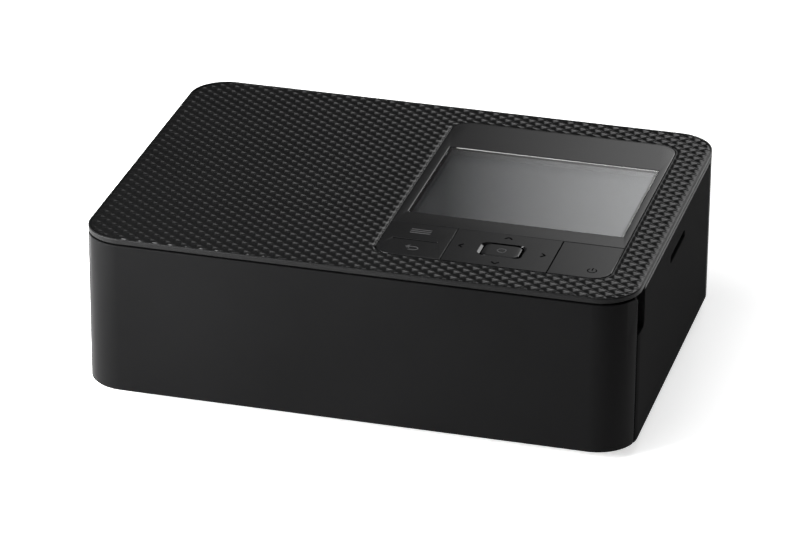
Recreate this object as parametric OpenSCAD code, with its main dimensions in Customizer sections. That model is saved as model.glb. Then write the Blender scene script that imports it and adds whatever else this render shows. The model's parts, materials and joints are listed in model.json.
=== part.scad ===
// Compact photo printer: a flat box with a patterned deck, a wrap-round front cover over the paper
// compartment, a side door over the ink cassette, and a control panel set into the deck.
// +X is right, +Y is back, +Z is up. The origin is under the middle of the casing, on the table.

/* [Casing] */
// Width of the casing from left to right
body_w = 182.2; // [181:0.1:200]
// Depth of the casing from front to back
body_d = 133; // [132.6:0.1:146]
// Height of the deck above the table
body_h = 57.6; // [57.4:0.1:66]
// Radius of the two upright corners at the front
front_corner_r = 13.5; // [8:0.5:14]
// Radius of the two upright corners at the back
rear_corner_r = 13; // [8:0.5:13]
// Wall of the outer mouldings
wall = 2.2; // [1.8:0.1:2.4]
// Thickness of the deck and of the rim that it shows
deck_t = 1.8; // [1.4:0.1:2]
// Rounding of the deck's upper edge
deck_round = 0.9; // [0.4:0.1:1.2]
// Dark gap between the deck's rim and the front cover
rim_gap = 0.6; // [0.3:0.1:0.8]
// Gap between neighbouring outer mouldings
seam = 0.45; // [0.3:0.05:0.6]
// Height of the outer mouldings' lower edge above the table
skirt_z = 3.5; // [3:0.1:4]
// Height of the rubber feet below the base tray
foot_h = 2; // [1.5:0.1:2.5]
// Radius of a rubber foot
foot_r = 6; // [4:0.5:8]

/* [Front cover and side door] */
// How far the front cover wraps round each side
cover_wrap = 9.9; // [8:0.1:12]
// Distance of the cover and door hinges behind their outer faces
hinge_in = 4.7; // [4.5:0.1:5]
// Height of the cover and door hinges above the table
hinge_z = 5.6; // [5.2:0.1:6]
// Radius of a hinge pin
pin_r = 1.2; // [0.9:0.1:1.4]
// Distance of the side door's rear edge from the back face
door_rear = 14.5; // [13.5:0.1:18]
// Strip of casing that shows above the side door
header_h = 1.45; // [1:0.05:2]
// Length of a finger notch behind the cover's side edge
notch_len = 8; // [6:0.5:10]
// Height of a finger notch
notch_h = 14; // [12:0.5:18]
// Length of the card slot
slot_len = 22; // [21.6:0.1:26]
// Height of the card slot
slot_h = 2.6; // [2.4:0.1:3]
// Distance of the card slot's middle below the deck
slot_drop = 11.3; // [11:0.1:12]

/* [Control panel] */
// Width of the control panel
panel_w = 77.4; // [77:0.1:79]
// Margin of the deck in front of the panel
panel_front = 14.5; // [14:0.1:15.5]
// Margin of the deck at the right of the panel
panel_right = 11.2; // [11:0.1:12]
// Margin of the deck behind the panel
panel_back = 11.1; // [10.5:0.1:12]
// Radius of the panel's corners
panel_corner_r = 6; // [4:0.5:7]
// Length of the row of keys at the panel's front
key_row = 24.5; // [23:0.1:26]
// Width of the menu and back key
menu_w = 22.5; // [20:0.1:24]
// Width of the direction key
direction_w = 34.7; // [32:0.1:36]
// Gap between keys, and round the panel
key_gap = 0.3; // [0.2:0.05:0.4]
// Width of the display window
window_w = 71.35; // [70:0.05:72]
// Length of the display window
window_len = 54; // [53:0.1:55]
// Distance of the window behind the key row
window_front = 8.2; // [7:0.1:9]
// Travel of a key
key_travel = 0.5; // [0.3:0.05:0.6]

/* [Paper path] */
// Distance of the mechanism's side plates inside the casing's sides
plate_in = 30.3; // [29.8:0.1:30.6]
// Distance of the paper compartment's walls inside the plates
bay_in = 4.8; // [3.8:0.1:6.8]
// Height of the paper path above the table
paper_z = 17; // [16.8:0.1:17.6]
// Thickness of the mechanism's sheet metal
sheet_t = 1.2; // [1:0.1:1.5]
// Radius of the feed roller
feed_r = 4; // [3.6:0.1:4.2]
// Radius of the platen roller
platen_r = 5; // [4.6:0.1:5.2]
// Radius of the pinch roller
pinch_r = 2.5; // [2.2:0.1:2.6]
// Radius of the pick-up tyres
pickup_r = 5; // [4.5:0.1:5.2]

/* [Gear train] */
// Module of every gear
gear_module = 0.5; // [0.5:0.01:0.51]
// Face width of a gear
gear_w = 2.5; // [2:0.1:2.8]
// Teeth on the feed roller's gear
feed_teeth = 20; // [20]
// Teeth on the platen roller's gear
platen_teeth = 25; // [25]
// Teeth on the idler between feed roller and platen
idler_teeth = 16; // [16]
// Teeth on the idler between platen and ribbon drive
ribbon_idler_teeth = 38; // [38]
// Teeth on the ribbon drive gear
ribbon_teeth = 28; // [28]
// Teeth on the reduction gear's wheel
wheel_teeth = 48; // [48]
// Teeth on the motor pinion and on the reduction gear's pinion
pinion_teeth = 12; // [12]

/* [Ink cassette] */
// Gap between the spool housings and the card socket above them
spool_gap = 0.7; // [0.5:0.1:1.5]
// Distance of the spool housings above the paper path
spool_rise = 7.2; // [7.1:0.1:7.6]
// Gap between the pick-up tyres and the supply spool's housing, seen from above
tyre_gap = 2.9; // [2:0.1:4]
// Gap between the print head and the take-up spool's housing
head_gap = 0.8; // [0.6:0.1:1.5]
// Wall of the cassette
ink_wall = 1.5; // [1.2:0.1:1.8]

/* [Hidden] */
$fn = 96;

black = [0.07, 0.07, 0.075];
dark = [0.13, 0.13, 0.14];
steel = [0.62, 0.63, 0.65];
rubber = [0.1, 0.1, 0.1];
nylon = [0.82, 0.81, 0.76];
board_green = [0.05, 0.28, 0.16];

run = 0.05;            // radial clearance of a shaft in its hole
loose = 0.3;           // gap round a piece that moves past another

// the casing's faces
half_w = body_w / 2;
half_d = body_d / 2;
front = -half_d;
back = half_d;
deck_z = body_h - deck_t;
cover_top = deck_z - rim_gap;
shell_top = deck_z - 0.25;
door_top = shell_top - header_h;
tray_z = foot_h;
tray_t = 2;
tray_top = tray_z + tray_t;
tray_wall_h = 12;
pad_h = 1;

// the cover's and the door's hinge lines
cover_edge = front + cover_wrap;
panel_edge = cover_edge + seam;
cover_pin_y = front + hinge_in;
door_pin_x = half_w - hinge_in;
knuckle_r = hinge_in - wall - loose;
sweep_r = norm([hinge_in, hinge_z - skirt_z]) + loose;
tray_front = cover_pin_y + sweep_r + 0.2;
tray_right = door_pin_x - sweep_r - 0.2;
door_back = back - door_rear;

// the inner side frame, one sweep behind the door's hinge
frame_out = half_w - hinge_in - knuckle_r - 1;
frame_in = frame_out - 1.8;
header_in = frame_out - 1.8;
slot_y = 1.5;
slot_z = body_h - slot_drop;
notch_top = shell_top;
notch_low = notch_top - notch_h;
notch_back = panel_edge + notch_len - seam;
notch_wall = 1.2;
frame_front = notch_back - 0.2;

// the control panel
panel_x2 = half_w - panel_right;
panel_x1 = panel_x2 - panel_w;
panel_y2 = back - panel_back;
panel_y1 = front + panel_front;
panel_len = panel_y2 - panel_y1;
panel_top = body_h - 0.3;
key_t = 1.5;
plate_z = panel_top - key_t;
keys_back = panel_y1 + key_row;
menu_x2 = panel_x1 + menu_w;
direction_x2 = menu_x2 + direction_w;
window_x = (panel_x1 + panel_x2) / 2 + 0.4;
window_y1 = keys_back + window_front;
window_y2 = window_y1 + window_len;
ledge = 1;
base_floor = plate_z - 0.7;
base_t = 1.2;
base_low = base_floor - base_t;
base_margin = 1.2;
board_t = 1.2;
switch_h = 1.2;
board_top = base_low - switch_h - 0.5;
module_t = 2.2;
holder_t = 1.4;
holder_z = base_low - module_t - holder_t;
post_low = board_top + switch_h + 0.5 + key_travel + 0.05;
rocker_y = (panel_y1 + keys_back) / 2;
ok_x = (menu_x2 + direction_x2) / 2;
ok_w = 12.2;
ok_len = 8.8;
ok_hole_w = 14.9;
ok_hole_len = 9.9;
post_w = 3;
switch_w = 4;

// the mechanism, all in the plane across its shafts: [y, z]
plate_start = 17.5;    // side plates behind the front face
platen_in = 44.5;      // platen before the back face
feed_step = 13.5;      // feed roller before the platen
board_in = 28.5;       // connector board's front edge before the back face
pivot_step = 6;        // pick-up shaft behind the plates' front edge
pivot_rise = 14;       // pick-up shaft above the paper path
pickup_reach = 14;     // pick-up tyres behind their shaft
plate_drop = 4.3;      // plates below the display holder
stay_r = 3;            // corners of the plates, and their feet's pads
rib_t = 1.2;           // thickness of the small ribs
rib_h = 3;             // height of the deck's ribs
cap_h = 2.8;           // height of the main board's tallest pieces
main_z = deck_z - rib_h - 0.2 - cap_h - board_t;
card_h = 3.4;          // height of the card socket
plate_x = half_w - plate_in;
plate_out = plate_x + sheet_t;
plate_front = front + plate_start;
plate_back = back - wall - 0.4;
plate_low = tray_top + pad_h;
plate_high = holder_z - plate_drop;
board_front = back - board_in;
foot_reach = 8;
foot_len = 8;
platen_at = [back - platen_in, paper_z - platen_r];
feed_at = [platen_at[0] - feed_step, paper_z - feed_r];
pinch_at = [feed_at[0], paper_z + pinch_r + 0.15];
pickup_pivot = [plate_front + pivot_step, paper_z + pivot_rise];
pickup_at = [pickup_pivot[0] + pickup_reach, paper_z + pickup_r + 0.1];
roller_half = plate_x - bay_in;
// the cassette fills the height between the paper path and the card socket
socket_z = [slot_z - card_h / 2 - 0.1, slot_z + card_h / 2 - 0.1];
spool_case_r = (socket_z[0] - spool_gap - paper_z - spool_rise) / 2;
spool_z = paper_z + spool_rise + spool_case_r;
journal_r = 2.5;
pinch_pin_r = 1.5;
axle_r = 1.5;

function pitch_r(teeth) = gear_module * teeth / 2;
function between(a, b, ra, rb, side) =
    let (d = norm(b - a), u = (b - a) / d, n = [-u[1], u[0]])
    let (s = (d * d + ra * ra - rb * rb) / (2 * d), h = sqrt(ra * ra - s * s))
    a + s * u + side * h * n;
function bearing(a, b) = atan2(b[1] - a[1], b[0] - a[0]);
// turn of the second gear that puts its gap on the first gear's tooth
function mesh_turn(a, b, turn, na, nb) =
    let (d = bearing(a, b)) d + 180 + (d - turn) * na / nb + 180 / nb;

// the spools stand behind the pick-up tyres and behind the print head
fin_step = 2.4;
head_deep = 2.25 * fin_step;
supply_at = [pickup_at[0] + pickup_r + tyre_gap + spool_case_r, spool_z];
take_up_at = [platen_at[0] + head_deep + head_gap + spool_case_r, spool_z];
spool_pitch = take_up_at[0] - supply_at[0];
idler_at = between(feed_at, platen_at, pitch_r(feed_teeth + idler_teeth),
                   pitch_r(platen_teeth + idler_teeth), 1);
ribbon_idler_at = between(platen_at, take_up_at, pitch_r(platen_teeth + ribbon_idler_teeth),
                          pitch_r(ribbon_teeth + ribbon_idler_teeth), -1);
reduction_at = feed_at + pitch_r(feed_teeth + pinion_teeth) * [cos(120), sin(120)];
motor_at = reduction_at + pitch_r(wheel_teeth + pinion_teeth) * [cos(120), sin(120)];
left_feet = [plate_front + foot_len, reduction_at[0] - 2.5 * foot_len, back - 2 * foot_len];
right_feet = [plate_front + foot_len, reduction_at[0] - 2.5 * foot_len, board_front - 0.7 * foot_len];

feed_turn = 0;
idler_turn = mesh_turn(feed_at, idler_at, feed_turn, feed_teeth, idler_teeth);
platen_turn = mesh_turn(idler_at, platen_at, idler_turn, idler_teeth, platen_teeth);
ribbon_idler_turn = mesh_turn(platen_at, ribbon_idler_at, platen_turn, platen_teeth, ribbon_idler_teeth);
ribbon_turn = mesh_turn(ribbon_idler_at, take_up_at, ribbon_idler_turn, ribbon_idler_teeth, ribbon_teeth);
reduction_turn = mesh_turn(feed_at, reduction_at, feed_turn, feed_teeth, pinion_teeth);
motor_turn = mesh_turn(reduction_at, motor_at, reduction_turn, wheel_teeth, pinion_teeth);

motor_r = 9;

// gears stand in two planes outside the left plate
gear_a = [-plate_out - 1.4 - gear_w, -plate_out - 1.4];
gear_b = [gear_a[0] - 0.8 - gear_w, gear_a[0] - 0.8];
gear_cover_x = [gear_b[0] - 2.3, gear_b[0] - 0.8];

// the ink cassette and the print head between its spools
ink_left = -plate_x + 2.8;
ink_right = frame_in - 1.4;
grip_reach = 8;
ink_end = ink_right - grip_reach;
spool_room = spool_case_r - ink_wall;
spindle_r = 2.5;
spindle_len = 6;
core_r = spindle_r + 1.5;
hub_r = 4;
stub_r = 2;
full_r = spool_room - 1.1;
head_half = roller_half - 4.5;
head_base = paper_z + 8;
head_lift = 1.6;
film_t = 0.15;
film_tip = paper_z + 0.35;
carrier_t = 1.4;
ear_half = 1.9;
cam_r = 2.8;
cam_w = 3;
card_half = 16;
cam_shaft_r = 1;
carrier_z = holder_z - carrier_t - 2 * cam_r - 0.5;
cam_z = carrier_z + carrier_t + cam_r + 0.15;
cam_y = platen_at[0] + 3.6;

// ---- shapes that repeat ----

module slab(x, y, z) {
    translate([x[0], y[0], z[0]]) cube([x[1] - x[0], y[1] - y[0], z[1] - z[0]]);
}

module rod_x(x, at, r) {
    translate([x[0], at[0], at[1]]) rotate([0, 90, 0]) cylinder(r = r, h = x[1] - x[0]);
}

module rod_y(y, at, r) {
    translate([at[0], y[1], at[1]]) rotate([90, 0, 0]) cylinder(r = r, h = y[1] - y[0]);
}

module rod_z(z, at, r) {
    translate([at[0], at[1], z[0]]) cylinder(r = r, h = z[1] - z[0]);
}

// carries an outline drawn in Y and Z along X
module along_x(x) {
    translate([x[0], 0, 0]) rotate([90, 0, 90]) linear_extrude(x[1] - x[0]) children();
}

// carries an outline drawn in X and Z along Y
module along_y(y) {
    translate([0, y[1], 0]) rotate([90, 0, 0]) linear_extrude(y[1] - y[0]) children();
}

module along_z(z) {
    translate([0, 0, z[0]]) linear_extrude(z[1] - z[0]) children();
}

module rounded_rect(x, y, r) {
    translate([x[0] + r, y[0]]) square([x[1] - x[0] - 2 * r, y[1] - y[0]]);
    translate([x[0], y[0] + r]) square([x[1] - x[0], y[1] - y[0] - 2 * r]);
    for (cx = [x[0] + r, x[1] - r], cy = [y[0] + r, y[1] - r]) translate([cx, cy]) circle(r = r);
}

// outline of the casing from above, drawn in by an inset
module outline(inset = 0) {
    rf = front_corner_r - inset;
    rr = rear_corner_r - inset;
    x = half_w - inset;
    f = front + inset;
    b = back - inset;
    translate([-x, f + rf]) square([2 * x, b - rr - f - rf]);
    translate([-x + rf, f]) square([2 * (x - rf), rf]);
    translate([-x + rr, b - rr]) square([2 * (x - rr), rr]);
    for (s = [-1, 1]) {
        translate([s * (x - rf), f + rf]) circle(r = rf);
        translate([s * (x - rr), b - rr]) circle(r = rr);
    }
}

// upright wall that follows the casing's outline
module band(z, outer, inner) {
    along_z(z) difference() {
        outline(outer);
        outline(inner);
    }
}

// square with its corners cut away on a radius, for edges that are seen from the side
module corner_cut(at, r, sx, sy) {
    translate(at) difference() {
        translate([min(0, sx * r), min(0, sy * r)]) square(r);
        translate([sx * r, sy * r]) circle(r = r);
    }
}

// spur gear with involute flanks of three points, thinned by the backlash
function involute(a) = tan(a) * 180 / PI - a;
module gear_outline(teeth) {
    rp = pitch_r(teeth);
    rb = rp * cos(20);
    root = rp - 1.2 * gear_module;
    tip = rp + 0.95 * gear_module;
    thin = 0.05 / rp * 180 / PI;
    radii = [max(root, rb), rp, tip];
    half = [for (r = radii) 90 / teeth + involute(20) - involute(acos(min(1, rb / r))) - thin];
    polygon([
        for (i = [0:teeth - 1]) let (c = i * 360 / teeth)
            for (p = [[root, -half[0]], [radii[1], -half[1]], [tip, -half[2]],
                      [tip, half[2]], [radii[1], half[1]], [root, half[0]]])
                p[0] * [cos(c + p[1]), sin(c + p[1])]
    ]);
}

module gear(x, at, teeth, turn, bore) {
    along_x(x) translate(at) rotate(turn) difference() {
        gear_outline(teeth);
        circle(r = bore);
    }
}

// ---- casing ----

left_screw_x = (gear_cover_x[0] - half_w + wall) / 2;
screw_places = [[left_screw_x, front + 37], [left_screw_x, back - 30], [half_w - 10.9, back - 8.3]];
foot_places = [for (x = [-half_w + 24, half_w - 24], y = [front + 18.5, back - 14.5]) [x, y]];
cover_ears = [-half_w + 27.1, half_w - 27.1];
door_ears = [front + 24, back - 34];
ear_w = 5;
tray_wall_in = 17;
tray_wall_t = 1.8;
rail_t = 1.4;
rail_h = 9;
vent_step = 6;
vent_len = 18;
boss_r = 2.8;
screw_r = 1.2;
screw_grip = 8;
post_r = 2;
head_r = 2.4;
rail_back = feed_at[0] - 8.5;

module tray_outline() {
    intersection() {
        outline(wall);
        union() {
            translate([-half_w, tray_front]) square([half_w + tray_right, body_d]);
            translate([0, door_back + 1]) square([half_w, door_rear]);
        }
    }
}

module base_tray() {
    color(black) difference() {
        union() {
            along_z([tray_z, tray_top]) tray_outline();
            // upstanding wall on the left and at the back
            along_z([tray_top, tray_top + tray_wall_h]) intersection() {
                difference() {
                    outline(wall);
                    outline(wall + tray_wall_t);
                }
                union() {
                    translate([-half_w, panel_edge + tray_t]) square([tray_wall_in, body_d]);
                    translate([-roller_half, board_front])
                        square([roller_half + board_x1 - tray_t, board_in]);
                }
            }
            // side rails of the paper compartment
            for (x = [-roller_half - rail_t, roller_half])
                slab([x, x + rail_t], [tray_front, rail_back], [tray_top, tray_top + rail_h]);
            for (i = [-3, -1, 1, 3]) let (x = i * roller_half / 4.7)
                slab([x - rib_t / 2, x + rib_t / 2], [tray_front, rail_back], [tray_top, tray_top + 0.8]);
            // screw posts
            for (p = screw_places) rod_z([tray_top, tray_top + tray_wall_h], p, boss_r + 0.4);
            // ears that carry the hinge pins
            for (x = cover_ears) {
                rod_x([x - ear_w / 2, x + ear_w / 2], [cover_pin_y, hinge_z], knuckle_r);
                slab([x - ear_w / 2, x + ear_w / 2], [cover_pin_y, tray_front + 2],
                     [hinge_z - knuckle_r, hinge_z + 0.6]);
            }
            for (y = door_ears) {
                rod_y([y - ear_w / 2, y + ear_w / 2], [door_pin_x, hinge_z], knuckle_r);
                slab([tray_right - 2, door_pin_x], [y - ear_w / 2, y + ear_w / 2],
                     [hinge_z - knuckle_r, hinge_z + 0.6]);
            }
            // pads under the mechanism and the connector board
            for (y = left_feet) rod_z([tray_top, plate_low], [-plate_x - foot_reach / 2, y], stay_r);
            for (y = right_feet) rod_z([tray_top, plate_low], [plate_x + foot_reach / 2, y], stay_r);
            for (p = board_posts) rod_z([tray_top, connector_z], p, post_r);
        }
        // way for the hood of the rear paper slot
        slab([-exit_half - hood_t - loose, exit_half + hood_t + loose], [back - hood_in - 1, back],
             [hood_z[0] - loose, tray_top + tray_wall_h + 1]);
        // room under the gears
        slab([gear_b[0] - 0.6, gear_a[1] + 0.6], [reduction_at[0] - 8, platen_at[0] + 8],
             [tray_top - 0.8, tray_top + 1]);
        for (p = foot_places) rod_z([tray_z - 1, tray_z + 0.8], p, foot_r + 0.2);
        for (p = screw_places) {
            rod_z([tray_z - 1, tray_z + 1.6], p, head_r + 0.2);
            rod_z([tray_z, tray_top + tray_wall_h + 1], p, screw_r + run);
        }
        for (x = cover_ears) rod_x([x - ear_w, x + ear_w], [cover_pin_y, hinge_z], pin_r);
        for (y = door_ears) rod_y([y - ear_w, y + ear_w], [door_pin_x, hinge_z], pin_r);
        // air slots
        for (i = [-3:3]) slab([i * vent_step, i * vent_step + 0.4 * vent_step],
                              [board_front, board_front + vent_len], [tray_z - 1, tray_top + 1]);
    }
}

module rubber_feet() {
    color(rubber) for (p = foot_places) {
        rod_z([0.5, tray_z + 0.8], p, foot_r);
        rod_z([0, 0.5], p, foot_r - 0.5);
    }
}

module case_screws() {
    color(steel) for (p = screw_places) difference() {
        union() {
            rod_z([tray_z + 0.1, tray_z + 1.6], p, head_r);
            rod_z([tray_z + 1.6, tray_top + tray_wall_h + screw_grip], p, screw_r);
        }
        for (a = [0, 90]) translate([p[0], p[1], tray_z + 0.4]) rotate(a)
            cube([head_r + 0.4, 0.6, 1.2], center = true);
    }
}

jack_half = 5.5;
jack_r = 4;
usb_half = 4.6;
jack_at = [plate_out + jack_half + 2.6, tray_top + 10];
usb_at = [plate_x - 2.3 * usb_half, tray_top + 6];
hood_t = 2;
hood_in = 5;
exit_half = roller_half - 2;
exit_z = [paper_z - 3.5, paper_z + 4];
hood_z = exit_z + [-2.5, 2.5];
connector_z = tray_top + 2;
board_x1 = usb_at[0] - 2 * usb_half;
board_x2 = jack_at[0] + jack_half + 0.4;
board_posts = [for (x = [board_x1 + 2 * post_r, board_x2 - 1.5 * post_r]) [x, board_front + 2 * post_r]];

// cut in a side skin that a finger reaches through, drawn in Y and Z
module notch_outline() {
    translate([panel_edge - 10, notch_low]) square([notch_back - panel_edge + 8, notch_h + 4]);
    translate([panel_edge - 10, notch_low + 2]) square([notch_back - panel_edge + 10, notch_h + 4]);
    translate([notch_back - 2, notch_low + 2]) circle(r = 2);
}

louvre_gap = 6;
louvre_step = (plate_x + plate_out - 2 * bay_in) / 4;
louvre_low = 2 * paper_z;
louvre_rise = (shell_top - 3.55 - louvre_low) / 5;
louvre_h = 0.45 * louvre_rise;

module rear_shell() {
    color(black) difference() {
        union() {
            intersection() {
                band([skirt_z, shell_top], 0, wall);
                union() {
                    slab([-half_w - 1, 0], [panel_edge, back + 1], [0, body_h]);
                    slab([-1, half_w + 1], [door_back + seam, back + 1], [0, body_h]);
                }
            }
            // inner ledge that the tray's wall stands under
            intersection() {
                band([tray_top + tray_wall_h, tray_top + tray_wall_h + 1.5], wall - 0.3, wall + tray_wall_t);
                slab([-half_w, -half_w + tray_wall_in], [panel_edge + 2, back], [0, body_h]);
            }
            // hood inside the paper slot
            slab([-exit_half - hood_t, exit_half + hood_t], [back - hood_in, back - wall + 0.2], hood_z);
        }
        along_x([-half_w - 1, -half_w + wall + 1]) notch_outline();
        // paper slot, wider at its mouth
        slab([-exit_half, exit_half], [back - hood_in - 1, back + 1], exit_z);
        slab([-exit_half - 1, exit_half + 1], [back - 1, back + 1], exit_z + [-1, 1]);
        // louvres
        for (i = [0:4], k = [0:3])
            along_y([back - 4, back + 1])
                translate([-plate_out + k * louvre_step, louvre_low + i * louvre_rise])
                    rounded_rect([0, louvre_step - louvre_gap], [0, louvre_h], louvre_h / 2 - 0.05);
        rod_y([back - hood_in, back + 1], jack_at, jack_r + 0.2);
        along_y([back - hood_in, back + 1])
            rounded_rect([usb_at[0] - usb_half - 0.4, usb_at[0] + usb_half + 0.4],
                         [usb_at[1] - 2, usb_at[1] + 2], 1.9);
    }
}

ink_mouth_y = [supply_at[0] - spool_case_r - 0.8, take_up_at[0] + spool_case_r + 0.8];
ink_mouth_z = [spool_z - spool_case_r - 0.8, spool_z + spool_case_r + 0.8];
lever_at = [frame_in - 4.4, ink_mouth_y[0] - 6];
lever_t = 2.5;
lever_r = 3;
lever_len = 7.2;
lever_z = [paper_z + 7.9, paper_z + 7.9 + lever_t];
frame_lap = 2.5;
flange_w = 6;
flange_t = 1.5;
door_catch = [door_back - 8, door_back - 4];

module side_frame() {
    color(dark) difference() {
        union() {
            slab([frame_in, frame_out], [frame_front, door_back + frame_lap], [tray_top, door_top + 0.2]);
            slab([frame_in - flange_w, frame_out], [frame_front, door_back], [tray_top, tray_top + flange_t]);
            // strip of casing above the door
            intersection() {
                along_z([door_top + 0.2, shell_top]) difference() {
                    outline();
                    translate([-half_w, front]) square([half_w + header_in, body_d]);
                }
                slab([0, half_w + 1], [notch_back, door_back + seam], [0, body_h]);
            }
            // floor and back wall of the finger notch
            slab([frame_out - 0.2, half_w - wall - 0.5], [frame_front, notch_back + notch_wall],
                 [notch_low - notch_wall, door_top + 0.2]);
            slab([frame_out, half_w - wall - 0.5], [panel_edge + loose, notch_back + notch_wall],
                 [notch_low - notch_wall, notch_low]);
            // boss of the eject lever
            slab([lever_at[0] - lever_r, frame_in + 0.5], [lever_at[1] - lever_r, lever_at[1] + lever_r],
                 [lever_z[0] - lever_r, lever_z[0] - 0.5]);
            rod_z([lever_z[0] - 0.6, lever_z[1] + 1.6], lever_at, axle_r);
        }
        // mouth of the ink compartment
        along_x([frame_in - flange_w - 1, frame_out + 1]) rounded_rect(ink_mouth_y, ink_mouth_z, stay_r);
        // card slot
        slab([frame_in - 1, frame_out + 1], [slot_y - slot_len / 2 - 1, slot_y + slot_len / 2 + 1],
             [slot_z - slot_h / 2 - 1, slot_z + slot_h / 2 + 1]);
        // opening that the eject lever works through
        slab([frame_in - 1, frame_out + 1], [lever_at[1] - 4.6, ink_mouth_y[0] - 0.8],
             [lever_z[0] - 0.1, lever_z[1] + 2.6]);
        // catch hole for the door, and room for the tray's ears
        slab([frame_in - 1, frame_out + 1], [door_catch[0] - 1, door_catch[1] + 1],
             [door_top - 6.4, door_top - 3.4]);
        for (y = door_ears) slab([tray_right - 2 - loose, frame_out + 1],
                                 [y - ear_w / 2 - loose, y + ear_w / 2 + loose],
                                 [tray_top - 1, hinge_z + 0.6 + loose]);
    }
}

mouth_top = paper_z + 10;
fascia_t = 1.6;
fascia_rise = 5.6;
catch_x = half_w - 21.1;
rib_span = half_w - 25.1;

module front_fascia() {
    y = [front + hinge_in - 0.1, front + hinge_in - 0.1 + fascia_t];
    z = [tray_top + fascia_rise, deck_z - 2.4];
    color(dark) difference() {
        union() {
            slab([-frame_out, frame_out], y, z);
            for (s = [-1, 1]) {
                // side returns that close the finger notches
                slab(s > 0 ? [frame_in, frame_out] : [-frame_out, -frame_in], [y[0], frame_front - 0.1], z);
                // feet on the tray
                slab(s > 0 ? [catch_x, tray_right] : [-tray_right, -catch_x], [y[0], tray_front + 5],
                     [z[0], z[0] + flange_t]);
                slab(s > 0 ? [catch_x, tray_right] : [-tray_right, -catch_x],
                     [tray_front + 3.5, tray_front + 5], [tray_top, z[0] + flange_t]);
            }
            // floor and back wall of the left finger notch
            slab([-half_w + wall + 0.5, -frame_out + 0.1], [panel_edge + loose, notch_back + notch_wall],
                 [notch_low - notch_wall, notch_low]);
            slab([-half_w + wall + 0.5, -frame_in], [frame_front - 0.2, notch_back + notch_wall],
                 [notch_low - notch_wall, z[1]]);
        }
        // mouth of the paper compartment, with rounded upper corners
        along_y([y[0] - 1, y[1] + 1]) {
            translate([-roller_half, tray_top]) square([2 * roller_half, mouth_top - tray_top - stay_r]);
            rounded_rect([-roller_half, roller_half], [tray_top, mouth_top], stay_r);
        }
        // catch holes for the cover
        for (s = [-1, 1])
            slab([s * catch_x - 3, s * catch_x + 3], [y[0] - 1, y[1] + 1],
                 [cover_top - 6.4, cover_top - 3.4]);
    }
}

module top_cover() {
    color(black) difference() {
        union() {
            along_z([deck_z, body_h - deck_round]) outline();
            hull() {
                along_z([body_h - deck_round - 0.01, body_h - deck_round]) outline();
                along_z([body_h - 0.36 * deck_round, body_h - 0.35 * deck_round]) outline(0.25 * deck_round);
            }
            hull() {
                along_z([body_h - 0.36 * deck_round, body_h - 0.35 * deck_round]) outline(0.25 * deck_round);
                along_z([body_h - 0.01, body_h]) outline(deck_round);
            }
            // locating skirt inside the shells
            intersection() {
                band([deck_z - 2.2, deck_z], wall, wall + 1.4);
                union() {
                    slab([-half_w, header_in - 6], [back - 20, back], [0, body_h]);
                    slab([-half_w, -half_w + 30], [frame_front + 2, back], [0, body_h]);
                }
            }
            // ribs under the deck
            for (i = [0:2]) let (x = -catch_x + 0.1 + i * (panel_x1 + half_w - 37.6) / 2)
                slab([x - rib_t / 2, x + rib_t / 2], [front + 2 * hinge_in, back - wall - 1.8],
                     [deck_z - rib_h, deck_z]);
            for (y = [front + 30.5, feed_at[0] - 4.5, board_front + 2])
                slab([-half_w + wall + 1.8, panel_x1 - 8.5], [y - rib_t / 2, y + rib_t / 2],
                     [deck_z - rib_h, deck_z]);
            // screw bosses, and posts down to the main board
            for (p = screw_places) rod_z([tray_top + tray_wall_h, deck_z], p, boss_r);
            for (x = [main_x[0] + board_edge, main_x[1] - board_edge],
                 y = [main_y[0] + 2 * board_edge, main_y[1] - board_edge])
                rod_z([main_z + board_t, deck_z], [x, y], post_r);
        }
        along_z([deck_z - 1, body_h + 1])
            rounded_rect([panel_x1, panel_x2], [panel_y1, panel_y2], panel_corner_r);
        for (p = screw_places)
            rod_z([tray_top + tray_wall_h - 1, tray_top + tray_wall_h + screw_grip + 1], p, screw_r);
    }
}

// ---- front cover and side door ----

module front_cover() {
    gap = [cover_ears[0] + ear_w / 2 + loose, cover_ears[1] - ear_w / 2 - loose];
    color(black) difference() {
        union() {
            // skin: the front of the casing's outline, seen from the side with its corners rounded
            intersection() {
                band([skirt_z, cover_top], 0, wall);
                along_x([-half_w - 1, half_w + 1]) difference() {
                    translate([front - 1, skirt_z]) square([cover_wrap + 1, cover_top - skirt_z]);
                    corner_cut([cover_edge, cover_top], 2, -1, -1);
                    corner_cut([cover_edge, skirt_z], 1, -1, 1);
                }
            }
            // stiffening ribs inside
            for (i = [0:2]) let (z = skirt_z + 12.5 + i * (cover_top - skirt_z - 23.7) / 2)
                slab([-rib_span, rib_span], [front + wall - 0.2, front + wall + 1.4], [z - 0.6, z + 0.6]);
            for (i = [-2:2]) slab([i * rib_span / 2 - 0.6, i * rib_span / 2 + 0.6],
                                  [front + wall - 0.2, front + wall + 1.4], [skirt_z + 8.5, cover_top - 5.2]);
            // hinge knuckles beside the tray's ears
            for (x = [gap[0] + 2, gap[1] - 6]) {
                rod_x([x - 2, x + 6], [cover_pin_y, hinge_z], knuckle_r);
                slab([x - 2, x + 6], [front + wall - 0.2, cover_pin_y], [hinge_z, hinge_z + knuckle_r]);
            }
            // catches
            for (s = [-1, 1]) {
                slab([s * catch_x - 2, s * catch_x + 2], [front + wall - 0.2, front + 7.6],
                     [cover_top - 5.2, cover_top - 4]);
                slab([s * catch_x - 2, s * catch_x + 2], [front + 6.6, front + 7.6],
                     [cover_top - 5.9, cover_top - 4]);
            }
        }
        for (x = [gap[0] + 2, gap[1] - 6]) rod_x([x - 3, x + 7], [cover_pin_y, hinge_z], pin_r + run);
    }
}

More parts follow.
